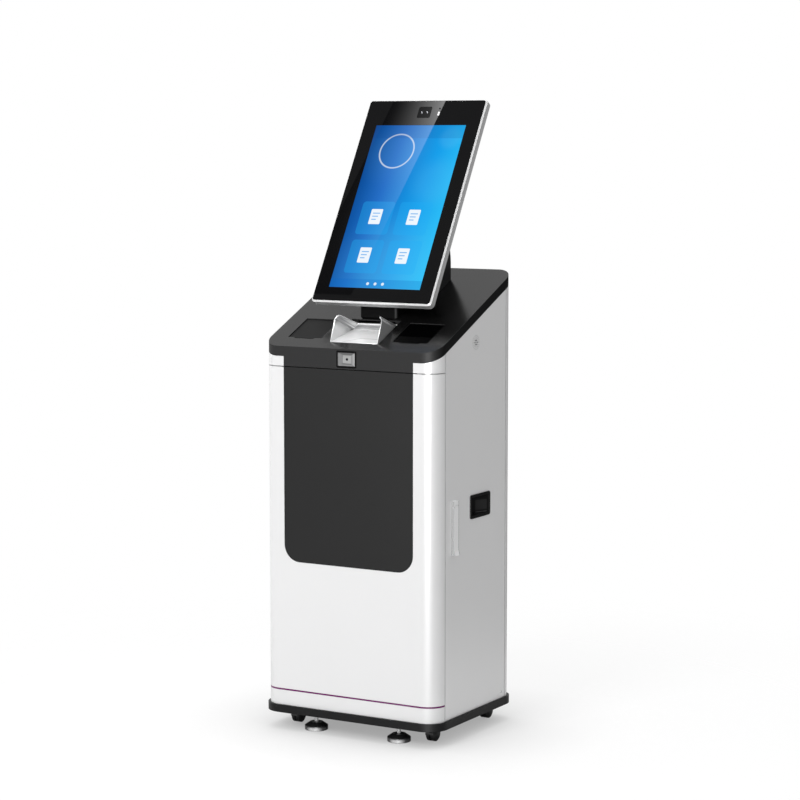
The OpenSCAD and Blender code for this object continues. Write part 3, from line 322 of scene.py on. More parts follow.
def makeBlackPaint(name):
    spec, look = blackPaint[name], blackGrain
    f = Finish(name + "Black")
    place = f.place()
    facing = f.facing()
    grain = f.noise(place, spec["grain"], *look["grain"])
    cloud = f.noise(place, *look["cloud"])
    fleck = f.span(f.noise(place, spec["grain"] * look["fleckScale"], *look["fleck"]), *look["fleckFrom"])
    base = Vector(spec["colour"])
    colour = f.blend(cloud, base * look["shades"][0], base * look["shades"][1])
    colour = f.blend(fleck, colour, base * look["fleckShade"])
    rough = f.around(spec["rough"], (cloud, look["cloudRough"]), (grain, look["grainRough"]))
    normal = f.bump(grain, *look["bump"], normal=f.softEdge(spec["edge"]))
    coat = 0.0
    # painted light: the rear of the neck and housing is painted paler than its front
    if "rear" in spec:
        rear = spec["rear"]
        coat = f.span(f.split(place).other("Y"), *rear["y"]) * (facing.other("Y") > rear["facing"])
        colour = f.blend(coat, colour, f.blend(fleck, rear["colour"], Vector(rear["colour"]) * rear["fleck"]))
    paint = f.principled(Base_Color=colour, Roughness=rough, Normal=normal, Specular_IOR_Level=spec["gloss"],
                         Coat_Weight=coat, Coat_Roughness=look["coatRough"])
    # painted light and shade: upright faces turned to the front are painted paler than those turned aside
    if "upright" in spec:
        edge = spec["upright"]
        shade = f.blend(f.span(-facing.other("Y"), *edge["turn"]), edge["side"], edge["front"])
        satin = f.principled(Base_Color=f.blend(fleck, shade, edge["fleck"]), Roughness=rough + edge["rough"],
                             Normal=normal, Specular_IOR_Level=edge["gloss"])
        paint = f.add("MixShader", None, {0: facing.other("Z") < edge["facing"], 1: paint, 2: satin})
    return f.output(paint)


# accent strip

purpleTrim = {"deep": (0.14, 0.002, 0.105), "pale": (0.17, 0.004, 0.125), "drift": (14.0, 2.0, 0.5),
              "rough": 0.3, "driftRough": 0.12, "edge": 0.0004, "gloss": 0.2}


def makePurpleTrim():
    f = Finish("purpleTrim")
    look = purpleTrim
    drift = f.noise(f.place(), *look["drift"])
    return f.surface(Base_Color=f.blend(drift, look["deep"], look["pale"]), Normal=f.softEdge(look["edge"]),
                     Roughness=look["rough"] + drift * look["driftRough"], Specular_IOR_Level=look["gloss"])


# plain steel: posts, shelf, roll holder, nuts and pivots, the power supply's case, and the chute's hems

steelLook = {
    "zincSteel": {"colour": (0.62, 0.63, 0.64), "rough": (0.3, 0.45), "brush": (200, 200, 60),
                  "edge": 0.0006, "metal": 1.0},
    "supplyMetal": {"colour": (0.62, 0.63, 0.64), "rough": (0.35, 0.5), "brush": (60, 300, 60),
                    "edge": 0.0006, "metal": 1.0},
    "hemSteel": {"colour": (0.95, 0.953, 0.957), "rough": (0.26, 0.34), "brush": (300, 300, 300),
                 "edge": 0.0004, "metal": 0.5},
}
steelGrain = {"dull": 0.93, "cloud": (9.0, 3.0, 0.6), "cloudRough": 0.04, "bump": (0.06, 0.00006)}


def makeBrushed(name):
    spec = steelLook[name]
    f = Finish(name)
    place = f.place()
    brush = f.streaks(place, spec["brush"])
    cloud = f.noise(place, *steelGrain["cloud"])
    shade = f.blend(brush, Vector(spec["colour"]) * steelGrain["dull"], spec["colour"])
    low, high = spec["rough"]
    rough = f.around(low + brush * (high - low), (cloud, steelGrain["cloudRough"]))
    normal = f.bump(brush, *steelGrain["bump"], normal=f.softEdge(spec["edge"]))
    return f.surface(Base_Color=shade, Roughness=rough, Metallic=spec["metal"], Normal=normal)


# document chute: polished floor; cheeks, rear wall and outside painted darker as shade, with painted shade
# lines along folds and creases and a painted highlight on the rear wall's top

chuteLook = {
    "half": 0.0695, "sheet": 0.0015, "crease": (0.078, 0.0435), "angle": 45.2, "fold": 42, "bend": 0.0692,
    "inside": (0.985, 0.987, 0.99), "dull": 0.93, "pale": (0.85, 0.853, 0.857), "shade": (0.34, 0.343, 0.347),
    "wall": (0.36, 0.363, 0.367), "outside": (0.4, 0.403, 0.407), "creaseShade": (0.2, 0.2, 0.205),
    "outsideFacing": 0.6, "cheekFacing": 0.3, "cheekFade": (-0.024, -0.001), "bandFade": (0.02, 0.09),
    "bandFrom": 0.002, "brush": (60, 700, 700), "edge": 0.0011, "rough": 0.2, "brushRough": 0.08,
    "metal": 0.08, "outsideMetal": 0.25,
    "foldLine": {"x": -0.04, "v": 0.034, "rise": 0.93, "end": 0.08, "fade": (0.0016, 0.0005), "weight": 0.85},
    "creaseLines": {"middle": 0.0022, "apart": 0.0034, "fade": (0.0016, 0.0006), "weight": 0.5},
    "rear": {"v": 0.1448, "top": -0.0122, "line": -0.0165, "fade": (0.003, 0.001), "weight": 0.5},
}


def makeChute():
    f = Finish("polishedSteel")
    look, fold, crease, rear = chuteLook, chuteLook["foldLine"], chuteLook["creaseLines"], chuteLook["rear"]
    place = f.place()
    x, v, h = deskSpot(f)
    facing = f.facing()
    outside = facing * f.maths("SIGN", x) > look["outsideFacing"]
    turn = math.radians(look["angle"])
    back, up = v - look["crease"][0], h - look["crease"][1]
    across = back * math.sin(turn) + up * math.cos(turn)
    along = back * math.cos(turn) - up * math.sin(turn)
    brush = f.streaks(place, look["brush"])
    cloud = f.noise(place, *steelGrain["cloud"])

    # painted shade: a dark line along the lip's fold, and a darker rear wall with a dark line across it; the
    # wall's top is painted as bright as the floor, a painted highlight
    line = abs(v - f.maths("MINIMUM", look["bend"], (x - fold["x"]) * fold["rise"] + fold["v"]))
    sheet = f.blend(brush, Vector(look["inside"]) * look["dull"], look["inside"])
    sheet = f.blend(f.span(line, *fold["fade"]) * (v < fold["end"]) * fold["weight"], sheet, look["creaseShade"])
    shadeLine = f.span(abs(h - rear["line"]), *rear["fade"]) * rear["weight"]
    wall = f.blend(h > rear["top"], f.blend(shadeLine, look["wall"], look["creaseShade"]), look["inside"])
    sheet = f.blend(v > rear["v"], sheet, wall)

    # painted shade: the cheeks darken towards the crease and the folded bands pale away from it, with dark
    # lines along the crease
    cheek = f.blend(f.span(across, *look["cheekFade"]), look["pale"], look["shade"])
    band = f.blend(f.span(along, *look["bandFade"]), look["shade"], look["pale"])
    cheek = f.blend(across > look["bandFrom"], cheek, band)
    shadeLine = f.span(abs(abs(across - crease["middle"]) - crease["apart"]), *crease["fade"]) * crease["weight"]
    cheek = f.blend(shadeLine, cheek, look["creaseShade"])

    # painted shade: outside faces are painted darker than the inside
    shade = f.blend(abs(facing) > look["cheekFacing"], sheet, cheek)
    shade = f.blend(outside, shade, look["outside"])
    rough = f.around(look["rough"] + brush * look["brushRough"], (cloud, steelGrain["cloudRough"]))
    normal = f.bump(brush, *steelGrain["bump"], normal=f.softEdge(look["edge"]))
    return f.surface(Base_Color=shade, Roughness=rough, Normal=normal,
                     Metallic=look["metal"] + outside * look["outsideMetal"])


# hems along the chute's open edges, and the beads pressed along its creases

hemLook = {"band": 0.014, "peak": 0.007, "peakSteps": 6, "start": (0.0351, 0.0016), "end": (0.0905, 0.0208),
           "radius": 0.0011, "sides": 10, "beads": (0.0006, 0.0056), "beadRun": (0.004, 0.087),
           "beadRadius": 0.0008, "lip": {"reach": 1.0, "v": 0.0347, "h": -0.0004, "radius": 0.0009},
           "rear": {"reach": 0.94, "v": 0.1538, "h": -0.0102, "radius": 0.001}}


def bandPoint(side, along, across):
    turn, fold = math.radians(chuteLook["angle"]), math.radians(chuteLook["fold"])
    v = chuteLook["crease"][0] + along * math.cos(turn) + across * math.cos(fold) * math.sin(turn)
    h = chuteLook["crease"][1] - along * math.sin(turn) + across * math.cos(fold) * math.cos(turn)
    return deskPoint(side * (chuteLook["half"] - chuteLook["sheet"] / 2 - across * math.sin(fold)), v, h)


def addTube(shape, points, radius):
    sides = hemLook["sides"]
    rings = []
    for at, point in enumerate(points):
        before, after = points[max(at - 1, 0)], points[min(at + 1, len(points) - 1)]
        turn = (after - before).normalized().to_track_quat("Z", "X")
        ring = []
        for step in range(sides):
            angle = 2 * math.pi * step / sides
            outward = turn @ Vector((math.cos(angle), math.sin(angle), 0))
            ring.append(shape.verts.new(point + outward * radius))
        rings.append(ring)
    for first, second in zip(rings, rings[1:]):
        for step in range(sides):
            following = (step + 1) % sides
            shape.faces.new((first[step], first[following], second[following], second[step]))
    shape.faces.new(rings[0][::-1])
    shape.faces.new(rings[-1])


def addHems():
    look = hemLook
    shape = bmesh.new()
    edge = chuteLook["half"] - chuteLook["sheet"] / 2
    peak, band = look["peak"], look["band"]
    for side in (-1, 1):
        points = [deskPoint(side * edge, *look["start"]), bandPoint(side, 0, 0)]
        for step in range(look["peakSteps"] + 1):
            angle = math.pi - step * math.pi / 2 / look["peakSteps"]
            along, across = peak + peak * math.cos(angle), band - peak + peak * math.sin(angle)
            points.append(bandPoint(side, along, across))
        points.append(bandPoint(side, *look["end"]))
        addTube(shape, points, look["radius"])
        for bead in look["beads"]:
            addTube(shape, [bandPoint(side, along, bead) for along in look["beadRun"]], look["beadRadius"])
    for tube in (look["lip"], look["rear"]):
        addTube(shape, [deskPoint(x * edge * tube["reach"], tube["v"], tube["h"]) for x in (-1, 0, 1)],
                tube["radius"])
    mesh = bpy.data.meshes.new("chuteHems")
    shape.to_mesh(mesh)
    shape.free()
    for face in mesh.polygons:
        face.use_smooth = len(face.vertices) == 4
    hems = bpy.data.objects.new("chuteHems", mesh)
    bpy.context.collection.objects.link(hems)
    mesh.materials.append(makeBrushed("hemSteel"))
    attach(hems, "cabinet")


# door handle: face at full brightness with a crowned bump, sides and underside painted darker as shade, a
# painted shadow line along the face's rear edge

handleLook = {"face": (0.97, 0.972, 0.975), "dull": 0.95, "side": (0.55, 0.553, 0.557),
              "under": (0.62, 0.63, 0.64), "rear": (0.3, 0.302, 0.305), "rearFrom": -0.1061,
              "faceFacing": 0.6, "sideFacing": 0.5, "underFacing": -0.5, "brush": (900, 900, 60),
              "bump": (0.03, 0.00004), "crown": 0.3, "edge": 0.0005, "rough": 0.42, "brushRough": 0.08,
              "gloss": 0.3}


def makeHandle():
    f = Finish("handleMetal")
    look = handleLook
    place = f.place()
    facing = f.facing()
    depth = f.split(place).other("Y")
    front = facing > look["faceFacing"]
    brush = f.streaks(place, look["brush"])
    shade = f.blend(brush, Vector(look["face"]) * look["dull"], look["face"])
    # painted shade: sides, underside and the face's rear edge are painted darker than the face
    shade = f.blend(abs(facing.other("Y")) > look["sideFacing"], shade, look["side"])
    shade = f.blend(facing.other("Z") < look["underFacing"], shade, look["under"])
    shade = f.blend((depth > look["rearFrom"]) * front, shade, look["rear"])
    crown = f.bump(depth * front, 1.0, look["crown"], f.softEdge(look["edge"]))
    return f.surface(Base_Color=shade, Roughness=look["rough"] + brush * look["brushRough"],
                     Normal=f.bump(brush, *look["bump"], normal=crown), Specular_IOR_Level=look["gloss"])


# code reader funnel: four satin slopes round the window, each painted its own tone as light and shade, the
# low and right slopes paler towards the rim

funnelLook = {"x": -0.003, "z": 0.9672, "window": (0.012, 0.01025), "rim": (0.0242, 0.0163), "slope": 0.1,
              "left": (0.16, 0.161, 0.163), "right": (0.26, 0.261, 0.263), "rightRim": 1.6,
              "top": (0.14, 0.141, 0.143), "low": (0.13, 0.131, 0.133), "lowRim": (0.27, 0.271, 0.273),
              "edge": (0.004, 0.004, 0.004), "brush": (60, 900, 900), "grain": 0.3, "grey": (0.5, 0.5, 0.5),
              "softEdge": 0.0003, "rough": 0.3, "brushRough": 0.1, "metal": 0.12}


def makeFunnel():
    f = Finish("brushedFunnel")
    look = funnelLook
    (windowWide, windowHigh), (rimWide, rimHigh) = look["window"], look["rim"]
    place = f.place()
    spot = f.split(place)
    aside, up = spot - look["x"], spot.other("Z") - look["z"]
    facing = f.facing()
    brush = f.streaks(place, look["brush"])
    # painted light and shade: each slope gets its own tone by the way it faces
    low = f.blend(f.span(-up, windowHigh, rimHigh), look["low"], look["lowRim"])
    shade = f.blend(facing.other("Z") < -look["slope"], low, look["top"])
    shade = f.blend(facing > look["slope"], shade, look["left"])
    right = Vector(look["right"])
    right = f.blend(f.span(aside, windowWide, rimWide), right, right * look["rightRim"])
    shade = f.blend(facing < -look["slope"], shade, right)
    edge = f.maths("MAXIMUM", abs(aside) > rimWide, abs(up) > rimHigh)
    shade = f.blend(brush * look["grain"], shade, look["grey"], "OVERLAY")
    shade = f.blend(edge, shade, look["edge"])
    normal = f.bump(brush, *steelGrain["bump"], normal=f.softEdge(look["softEdge"]))
    return f.surface(Base_Color=shade, Roughness=look["rough"] + brush * look["brushRough"],
                     Metallic=look["metal"], Normal=normal)


# display frame: bevel painted near white as a painted highlight, a dark band painted as shade, then brushed
# sides with a fine line painted dark as shade

frameLook = {"bevel": 0.0044, "groove": 0.0062, "line": 0.0118, "lineWide": 0.0006, "lineWeight": 0.45,
             "bright": (0.985, 0.986, 0.988), "dark": (0.3, 0.3, 0.302), "side": (0.62, 0.623, 0.626),
             "dull": 0.93, "brush": (60, 900, 900), "edge": 0.0008, "rough": 0.22, "brushRough": 0.1,
             "metal": 0.12, "coat": 0.8, "coatRough": 0.15}


def makeFrame():
    f = Finish("frameAluminium")
    look = frameLook
    depth = glassSpot(f)[2]
    brush = f.streaks(f.place(), look["brush"])
    shade = f.blend(brush, Vector(look["side"]) * look["dull"], look["side"])
    # painted shade: a fine line and the band behind the bevel are painted dark; painted highlight: the bevel
    # is painted near white
    line = abs(depth - look["line"]) < look["lineWide"]
    shade = f.blend(line * look["lineWeight"], shade, look["dark"])
    shade = f.blend(depth < look["groove"], shade, look["dark"])
    bevel = depth < look["bevel"]
    shade = f.blend(bevel, shade, look["bright"])
    normal = f.bump(brush, *steelGrain["bump"], normal=f.softEdge(look["edge"]))
    return f.surface(Base_Color=shade, Roughness=look["rough"] + brush * look["brushRough"],
                     Metallic=look["metal"], Normal=normal, Coat_Weight=bevel * look["coat"],
                     Coat_Roughness=look["coatRough"])


# plastics and rubber

plasticLook = {
    "inner": {"colour": (0.008, 0.008, 0.0082), "rough": 0.55, "gloss": 0.3, "grain": 1100, "edge": 0.0006},
    "speaker": {"colour": (0.004, 0.004, 0.004), "rough": 0.7, "gloss": 0.2, "grain": 900, "edge": 0.0005},
    "reader": {"colour": (0.0048, 0.0048, 0.005), "rough": 0.55, "gloss": 0.15, "grain": 2200,
               "edge": 0.0005},
    "rocker": {"colour": (0.01, 0.01, 0.01), "rough": 0.22, "gloss": 0.5, "grain": 1200, "edge": 0.0005},
    "caster": {"colour": (0.004, 0.004, 0.0045), "rough": 0.16, "gloss": 0.5, "grain": 1200, "edge": 0.0008},
    "tread": {"colour": (0.008, 0.008, 0.0085), "rough": 0.4, "gloss": 0.4, "grain": 900, "edge": 0.0006},
    "platen": {"colour": (0.03, 0.03, 0.03), "rough": 0.6, "gloss": 0.4, "grain": 800, "edge": 0.0005},
    "computer": {"colour": (0.05, 0.052, 0.055), "rough": 0.45, "gloss": 0.5, "grain": 1500, "edge": 0.0006},
    "window": {"colour": (0.4, 0.402, 0.4), "rough": 0.4, "gloss": 0.3, "grain": 1600, "edge": 0.0004,
               "eye": {"x": -0.003, "z": 0.9672, "fade": (0.00374, 0.00306),
                       "colour": (0.004, 0.004, 0.004)}},
    "lamp": {"colour": (0.9, 0.9, 0.9), "rough": 0.3, "gloss": 0.5, "grain": 1600, "edge": 0.0003},
}
plasticGrain = {"grain": (2.0, 0.6), "cloud": (22.0, 3.0, 0.6), "shades": (0.9, 1.1), "grainRough": 0.12,
                "cloudRough": 0.06, "bump": 0.14, "depth": 0.0001}


def makePlastic(name):
    spec, look = plasticLook[name], plasticGrain
    f = Finish(name + "Plastic")
    place = f.place()
    grain = f.noise(place, spec["grain"], *look["grain"])
    cloud = f.noise(place, *look["cloud"])
    base = Vector(spec["colour"])
    colour = f.blend(cloud, base * look["shades"][0], base * look["shades"][1])
    if "eye" in spec:
        eye = spec["eye"]
        spot = f.split(place)
        away = length(spot - eye["x"], spot.other("Z") - eye["z"])
        colour = f.blend(f.span(away, *eye["fade"]), colour, eye["colour"])
    rough = f.around(spec["rough"], (grain, look["grainRough"]), (cloud, look["cloudRough"]))
    normal = f.bump(grain, look["bump"], look["depth"], f.softEdge(spec["edge"]))
    return f.surface(Base_Color=colour, Roughness=rough, Normal=normal, Specular_IOR_Level=spec["gloss"])


# sunk side grips: a pad painted paler as a painted highlight, also rougher and bumpier, a pale line under it
# painted as the lip's highlight, a coat all over
# the code reader's surround and the mains inlet share this plastic, without the coat

gripLook = {"colour": (0.003, 0.003, 0.0031), "pad": (0.024, 0.024, 0.0245), "lip": (0.12, 0.12, 0.122),
            "padY": (0.0455, 0.0165), "padZ": (0.587, 0.013), "lipZ": (0.5688, 0.0007), "inside": 0.2552,
            "grain": 1400.0, "edge": 0.0012, "rough": 0.4, "padRough": 0.2, "padBump": 0.2, "gloss": 0.04,
            "coatFrom": 0.2, "coat": 0.7, "coatRough": 0.3}


def makeGrip():
    f = Finish("gripPlastic")
    look, general = gripLook, plasticGrain
    place = f.place()
    spot = f.split(place)
    aside = abs(spot)

    def within(axis, key):
        middle, reach = look[key]
        return abs(spot.other(axis) - middle) < reach

    grain = f.noise(place, look["grain"], *general["grain"])
    cloud = f.noise(place, *general["cloud"])
    base = Vector(look["colour"])
    inside = (aside < look["inside"]) * within("Y", "padY")
    pad = inside * within("Z", "padZ")
    colour = f.blend(cloud, base * general["shades"][0], base * general["shades"][1])
    # painted highlight: the pad is painted paler, and a pale line under it stands for the lip's highlight
    colour = f.blend(pad, colour, look["pad"])
    colour = f.blend(inside * within("Z", "lipZ"), colour, look["lip"])
    rough = f.around(look["rough"], (grain, general["grainRough"]), (cloud, general["cloudRough"]))
    strength = general["bump"] + pad * look["padBump"]
    normal = f.bump(grain, strength, general["depth"], f.softEdge(look["edge"]))
    return f.surface(Base_Color=colour, Roughness=rough + pad * look["padRough"], Normal=normal,
                     Specular_IOR_Level=look["gloss"], Coat_Weight=(aside > look["coatFrom"]) * look["coat"],
                     Coat_Roughness=look["coatRough"])


# dark glass

glassLook = {"cover": {"colour": (0.005, 0.005, 0.0054), "ior": 1.3},
             "scan": {"colour": (0.0008, 0.0008, 0.0009), "ior": 1.08},
             "smoke": {"colour": (0.003, 0.003, 0.0034), "ior": 1.12}}
glassSmear = {"smear": (17.0, 4.0, 0.65), "shades": (0.9, 1.15), "rough": 0.006, "smearRough": 0.012,
              "edge": 0.0006}


def makeGlass(name):
    spec, look = glassLook[name], glassSmear
    f = Finish(name + "Glass")
    smear = f.noise(f.place(), *look["smear"])
    base = Vector(spec["colour"])
    colour = f.blend(smear, base * look["shades"][0], base * look["shades"][1])
    return f.surface(Base_Color=colour, Roughness=look["rough"] + smear * look["smearRough"], IOR=spec["ior"],
                     Normal=f.softEdge(look["edge"]))


# camera lenses: a grey ring and a slanting glint each

lensLook = {"gap": 0.016, "v": 0.555, "ring": (0.0036, 0.005), "ringColour": (0.03, 0.03, 0.031),
            "deep": (0.004, 0.005, 0.01), "pale": (0.008, 0.007, 0.016), "coating": (900.0, 2.0, 0.5),
            "glint": (0.7, 0.72, 0.75), "slant": (0.87, 0.49), "glintWide": (0.00117, 0.00063),
            "glintLong": (0.00374, 0.00272), "ior": 1.12, "rough": 0.05, "coatingRough": 0.03, "edge": 0.0006}


def makeLens():
    f = Finish("cameraLens")
    look = lensLook
    u, v = glassSpot(f)[:2]
    side, up = abs(u) - look["gap"] / 2, v - look["v"]
    away = length(side, up)
    coating = f.noise(f.place(), *look["coating"])
    colour = f.blend(coating, look["deep"], look["pale"])
    inner, outer = look["ring"]
    colour = f.blend((away > inner) * (away < outer), colour, look["ringColour"])
    outward = f.maths("SIGN", u) * side
    more, less = look["slant"]
    across, along = outward * more + up * less, outward * less - up * more
    glint = f.span(abs(across), *look["glintWide"]) * f.span(abs(along), *look["glintLong"])
    colour = f.blend(glint, colour, look["glint"])
    return f.surface(Base_Color=colour, Roughness=look["rough"] + coating * look["coatingRough"],
                     IOR=look["ior"], Normal=f.softEdge(look["edge"]))


# paper roll

paperLook = {"deep": (0.84, 0.84, 0.82), "pale": (0.9, 0.9, 0.885), "fibre": (1300.0, 4.0, 0.7),
             "turns": (0, 2500, 2500), "turnsGrain": (2.0, 0.5), "rough": 0.82, "fibreRough": 0.1,
             "bump": (0.25, 0.0001)}


def makePaper():
    f = Finish("paper")
    look = paperLook
    place = f.place()
    fibre = f.noise(place, *look["fibre"])
    turns = f.streaks(place, look["turns"], *look["turnsGrain"])
    return f.surface(Base_Color=f.blend(fibre, look["deep"], look["pale"]),
                     Roughness=look["rough"] + fibre * look["fibreRough"],
                     Normal=f.bump(fibre + turns, *look["bump"]))


# foot: rim painted bright and dark round its turn as a painted reflection, with painted shade along its top,
# black cone, threaded stud

footLook = {"rimTop": 0.0115, "coneTop": 0.0205, "pitch": 0.00175, "rim": (0.93, 0.93, 0.935),
            "rimDark": 0.12, "toward": (-0.34, 0.94), "turn": (0.7, 1.0), "streak": 0.15, "streakDark": 0.5,
            "shadeFrom": 0.006, "shade": (0.05, 0.05, 0.052), "cone": (0.006, 0.006, 0.0064),
            "stud": (0.95, 0.953, 0.957), "brush": (30, 30, 1800), "brushGrain": (3.0, 0.6),
            "thread": (0.25, 0.0004), "edge": 0.0008, "rough": 0.16, "brushRough": 0.1, "coneRough": 0.16,
            "studRough": 0.2, "metal": 0.5}


def makeFootFinish():
    f = Finish("footFinish")
    look = footLook
    place = f.place()
    high = f.split(place).other("Z")
    facing = f.facing()
    cone = (high > look["rimTop"]) * (high < look["coneTop"])
    stud = high > look["coneTop"]
    brush = f.streaks(place, look["brush"], *look["brushGrain"])
    rim = Vector(look["rim"])
    # painted reflection: the rim is painted bright where it faces front and back and dark where it faces
    # aside; painted shade along its top
    paintedSheen = f.span(abs(facing * look["toward"][0] + facing.other("Y") * look["toward"][1]), *look["turn"])
    metal = f.blend(paintedSheen, rim * look["rimDark"], rim)
    metal = f.blend(brush * look["streak"], metal, rim * look["streakDark"])
    metal = f.blend(f.span(high, look["shadeFrom"], look["rimTop"]), metal, look["shade"])
    colour = f.blend(cone, metal, look["cone"])
    colour = f.blend(stud, colour, look["stud"])
    thread = f.maths("PINGPONG", high, look["pitch"] / 2) / (look["pitch"] / 2) * stud
    rough = look["rough"] + brush * look["brushRough"] + cone * look["coneRough"] + stud * look["studRough"]
    return f.surface(Base_Color=colour, Roughness=rough, Metallic=(1 - cone) * (1 - stud) * look["metal"],
                     Normal=f.bump(thread, *look["thread"], normal=f.softEdge(look["edge"])))


# lit screen: a plain menu of page tiles over soft discs

screenLook = {
    "low": 0.0386, "wide": 0.268, "high": 0.4775, "across": 0.84, "glass": (0.003, 0.003, 0.004),
    "rough": 0.012, "ior": 1.24, "glow": 1.0,
    "night": (0.0, 0.055, 0.26), "deep": (0.0, 0.14, 0.55), "middle": (0.002, 0.34, 0.82),
    "bright": (0.02, 0.54, 0.95), "pale": (0.25, 0.75, 0.98), "tile": (0.01, 0.42, 0.92),
    "white": (0.9, 0.97, 1.0), "paper": (0.93, 0.97, 1.0),
    "stops": ((0.0, "night"), (0.3, "deep"), (0.68, "middle"), (1.0, "bright")),
    "discs": ({"at": (-0.05, 0.4), "radius": 0.075, "soft": 0.05, "weight": 0.05},
              {"at": (0.09, 0.31), "radius": 0.06, "soft": 0.03, "weight": 0.06},
              {"at": (0.02, 0.05), "radius": 0.12, "soft": 0.09, "weight": 0.12},
              {"at": (0.1, 0.44), "radius": 0.03, "soft": 0.012, "weight": 0.07}),
    "ring": {"at": (-0.05, 0.4), "outer": 0.052, "inner": 0.048, "soft": 0.001, "weight": 0.55},
    "tiles": {"x": 0.056, "low": 0.09, "step": 0.112, "rows": 2, "size": 0.096, "round": 0.009,
              "weight": 0.3},
    "page": {"rise": 0.004, "wide": 0.034, "high": 0.044, "round": 0.003, "weight": 0.92},
    "lines": {"count": 3, "rise": 0.014, "step": 0.009, "wide": 0.022, "less": 0.004, "high": 0.0028,
              "round": 0.0012, "weight": 0.8},
    "bars": ({"v": 0.458, "high": 0.039, "colour": "night", "weight": 0.2},
             {"v": 0.0125, "high": 0.025, "colour": "deep", "weight": 0.3}),
    "barRound": 0.0005, "tileSoft": 0.0003,
    "dots": {"count": 3, "step": 0.022, "v": 0.0125, "radius": 0.0042, "soft": 0.0004, "weight": 0.85},
}


def makeScreen():
    f = Finish("litScreen")
    look = screenLook
    u, v = glassSpot(f)[:2]
    v = v - look["low"]
    rise = v / look["high"]

    def disc(x, y, radius, soft):
        return f.span(length(u - x, v - y), radius + soft, radius - soft)

    def tile(x, y, wide, high, radius):
        aside = f.maths("MAXIMUM", abs(u - x) - (wide / 2 - radius), 0.0)
        above = f.maths("MAXIMUM", abs(v - y) - (high / 2 - radius), 0.0)
        away = (aside * aside + above * above) ** 0.5
        return f.span(away, radius + look["tileSoft"], radius - look["tileSoft"])

    stops = [(at, look[name]) for at, name in look["stops"]]
    sweep = (u / look["wide"] + 0.5) * look["across"] + (1 - rise) * (1 - look["across"])
    colour = f.add("ValToRGB", {"stops": stops}, {"Fac": sweep})
    for spec in look["discs"]:
        shape = disc(*spec["at"], spec["radius"], spec["soft"])
        colour = f.blend(shape * spec["weight"], colour, look["pale"])
    ring = look["ring"]
    outer, inner = (disc(*ring["at"], ring[edge], ring["soft"]) for edge in ("outer", "inner"))
    colour = f.blend(outer * (1 - inner) * ring["weight"], colour, look["white"])

    tiles, page, lines = look["tiles"], look["page"], look["lines"]
    for column in (-1, 1):
        for row in range(tiles["rows"]):
            x, y = column * tiles["x"], tiles["low"] + row * tiles["step"]
            shape = tile(x, y, tiles["size"], tiles["size"], tiles["round"])
            colour = f.blend(shape * tiles["weight"], colour, look["tile"])
            shape = tile(x, y + page["rise"], page["wide"], page["high"], page["round"])
            colour = f.blend(shape * page["weight"], colour, look["paper"])
            for line in range(lines["count"]):
                less = lines["less"] * line
                shape = tile(x - less / 2, y + lines["rise"] - line * lines["step"], lines["wide"] - less,
                             lines["high"], lines["round"])
                colour = f.blend(shape * lines["weight"], colour, look["middle"])

    for bar in look["bars"]:
        shape = tile(0, bar["v"], look["wide"], bar["high"], look["barRound"])
        colour = f.blend(shape * bar["weight"], colour, look[bar["colour"]])
    dots = look["dots"]
    for dot in range(dots["count"]):
        shape = disc((dot - (dots["count"] - 1) / 2) * dots["step"], dots["v"], dots["radius"], dots["soft"])
        colour = f.blend(shape * dots["weight"], colour, look["white"])
    return f.surface(Base_Color=look["glass"], Roughness=look["rough"], IOR=look["ior"],
                     Emission_Color=colour, Emission_Strength=look["glow"])


# one finish for each material slot of the part

finishes = {
    "white_paint": makeWhitePaint(),
    "plinth_black": makeBlackPaint("plinth"),
    "black_panel": makeBlackPaint("panel"),
    "desk_black": makeBlackPaint("desk"),
    "neck_black": makeBlackPaint("neck"),
    "purple_trim": makePurpleTrim(),
    "frame_aluminium": makeFrame(),
    "polished_steel": makeChute(),
    "brushed_funnel": makeFunnel(),
    "handle_metal": makeHandle(),
    "zinc_steel": makeBrushed("zincSteel"),
    "supply_metal": makeBrushed("supplyMetal"),
    "cover_black": makeGlass("cover"),
    "dark_glass": makeGlass("scan"),
    "camera_smoke": makeGlass("smoke"),
    "lens_black": makeLens(),
    "screen": makeScreen(),
    "lamp_white": makePlastic("lamp"),
    "pale_window": makePlastic("window"),
    "reader_plate": makePlastic("reader"),
    "inner_black": makePlastic("inner"),
    "grip_black": makeGrip(),
    "speaker_black": makePlastic("speaker"),
    "platen_rubber": makePlastic("platen"),
    "computer_grey": makePlastic("computer"),
    "rocker_black": makePlastic("rocker"),
    "caster_black": makePlastic("caster"),
    "caster_tread": makePlastic("tread"),
    "foot_metal": makeFootFinish(),
    "paper": makePaper(),
}

for entry in frame["record"]["subparts"]:
    shell = nodes[entry["node"]]
    shell.data.materials.clear()
    shell.data.materials.append(finishes[entry["material_slot"]])
print("finishes made:", len(finishes))

nodes["screen_panel"].visible_glossy = False  # the desk shows the room, not the menu
addHems()
print("chute hems added")

# floor: pale to the camera, keeps the object's shadow, fades into the background

floorLook = {"radius": 9, "sides": 96, "fade": (0.5, 1.9), "bounce": (0.72, 0.72, 0.72),
             "seen": (0.3, 0.3, 0.3), "lift": 0.73, "near": 0.34, "deep": 0.46, "samples": 16}


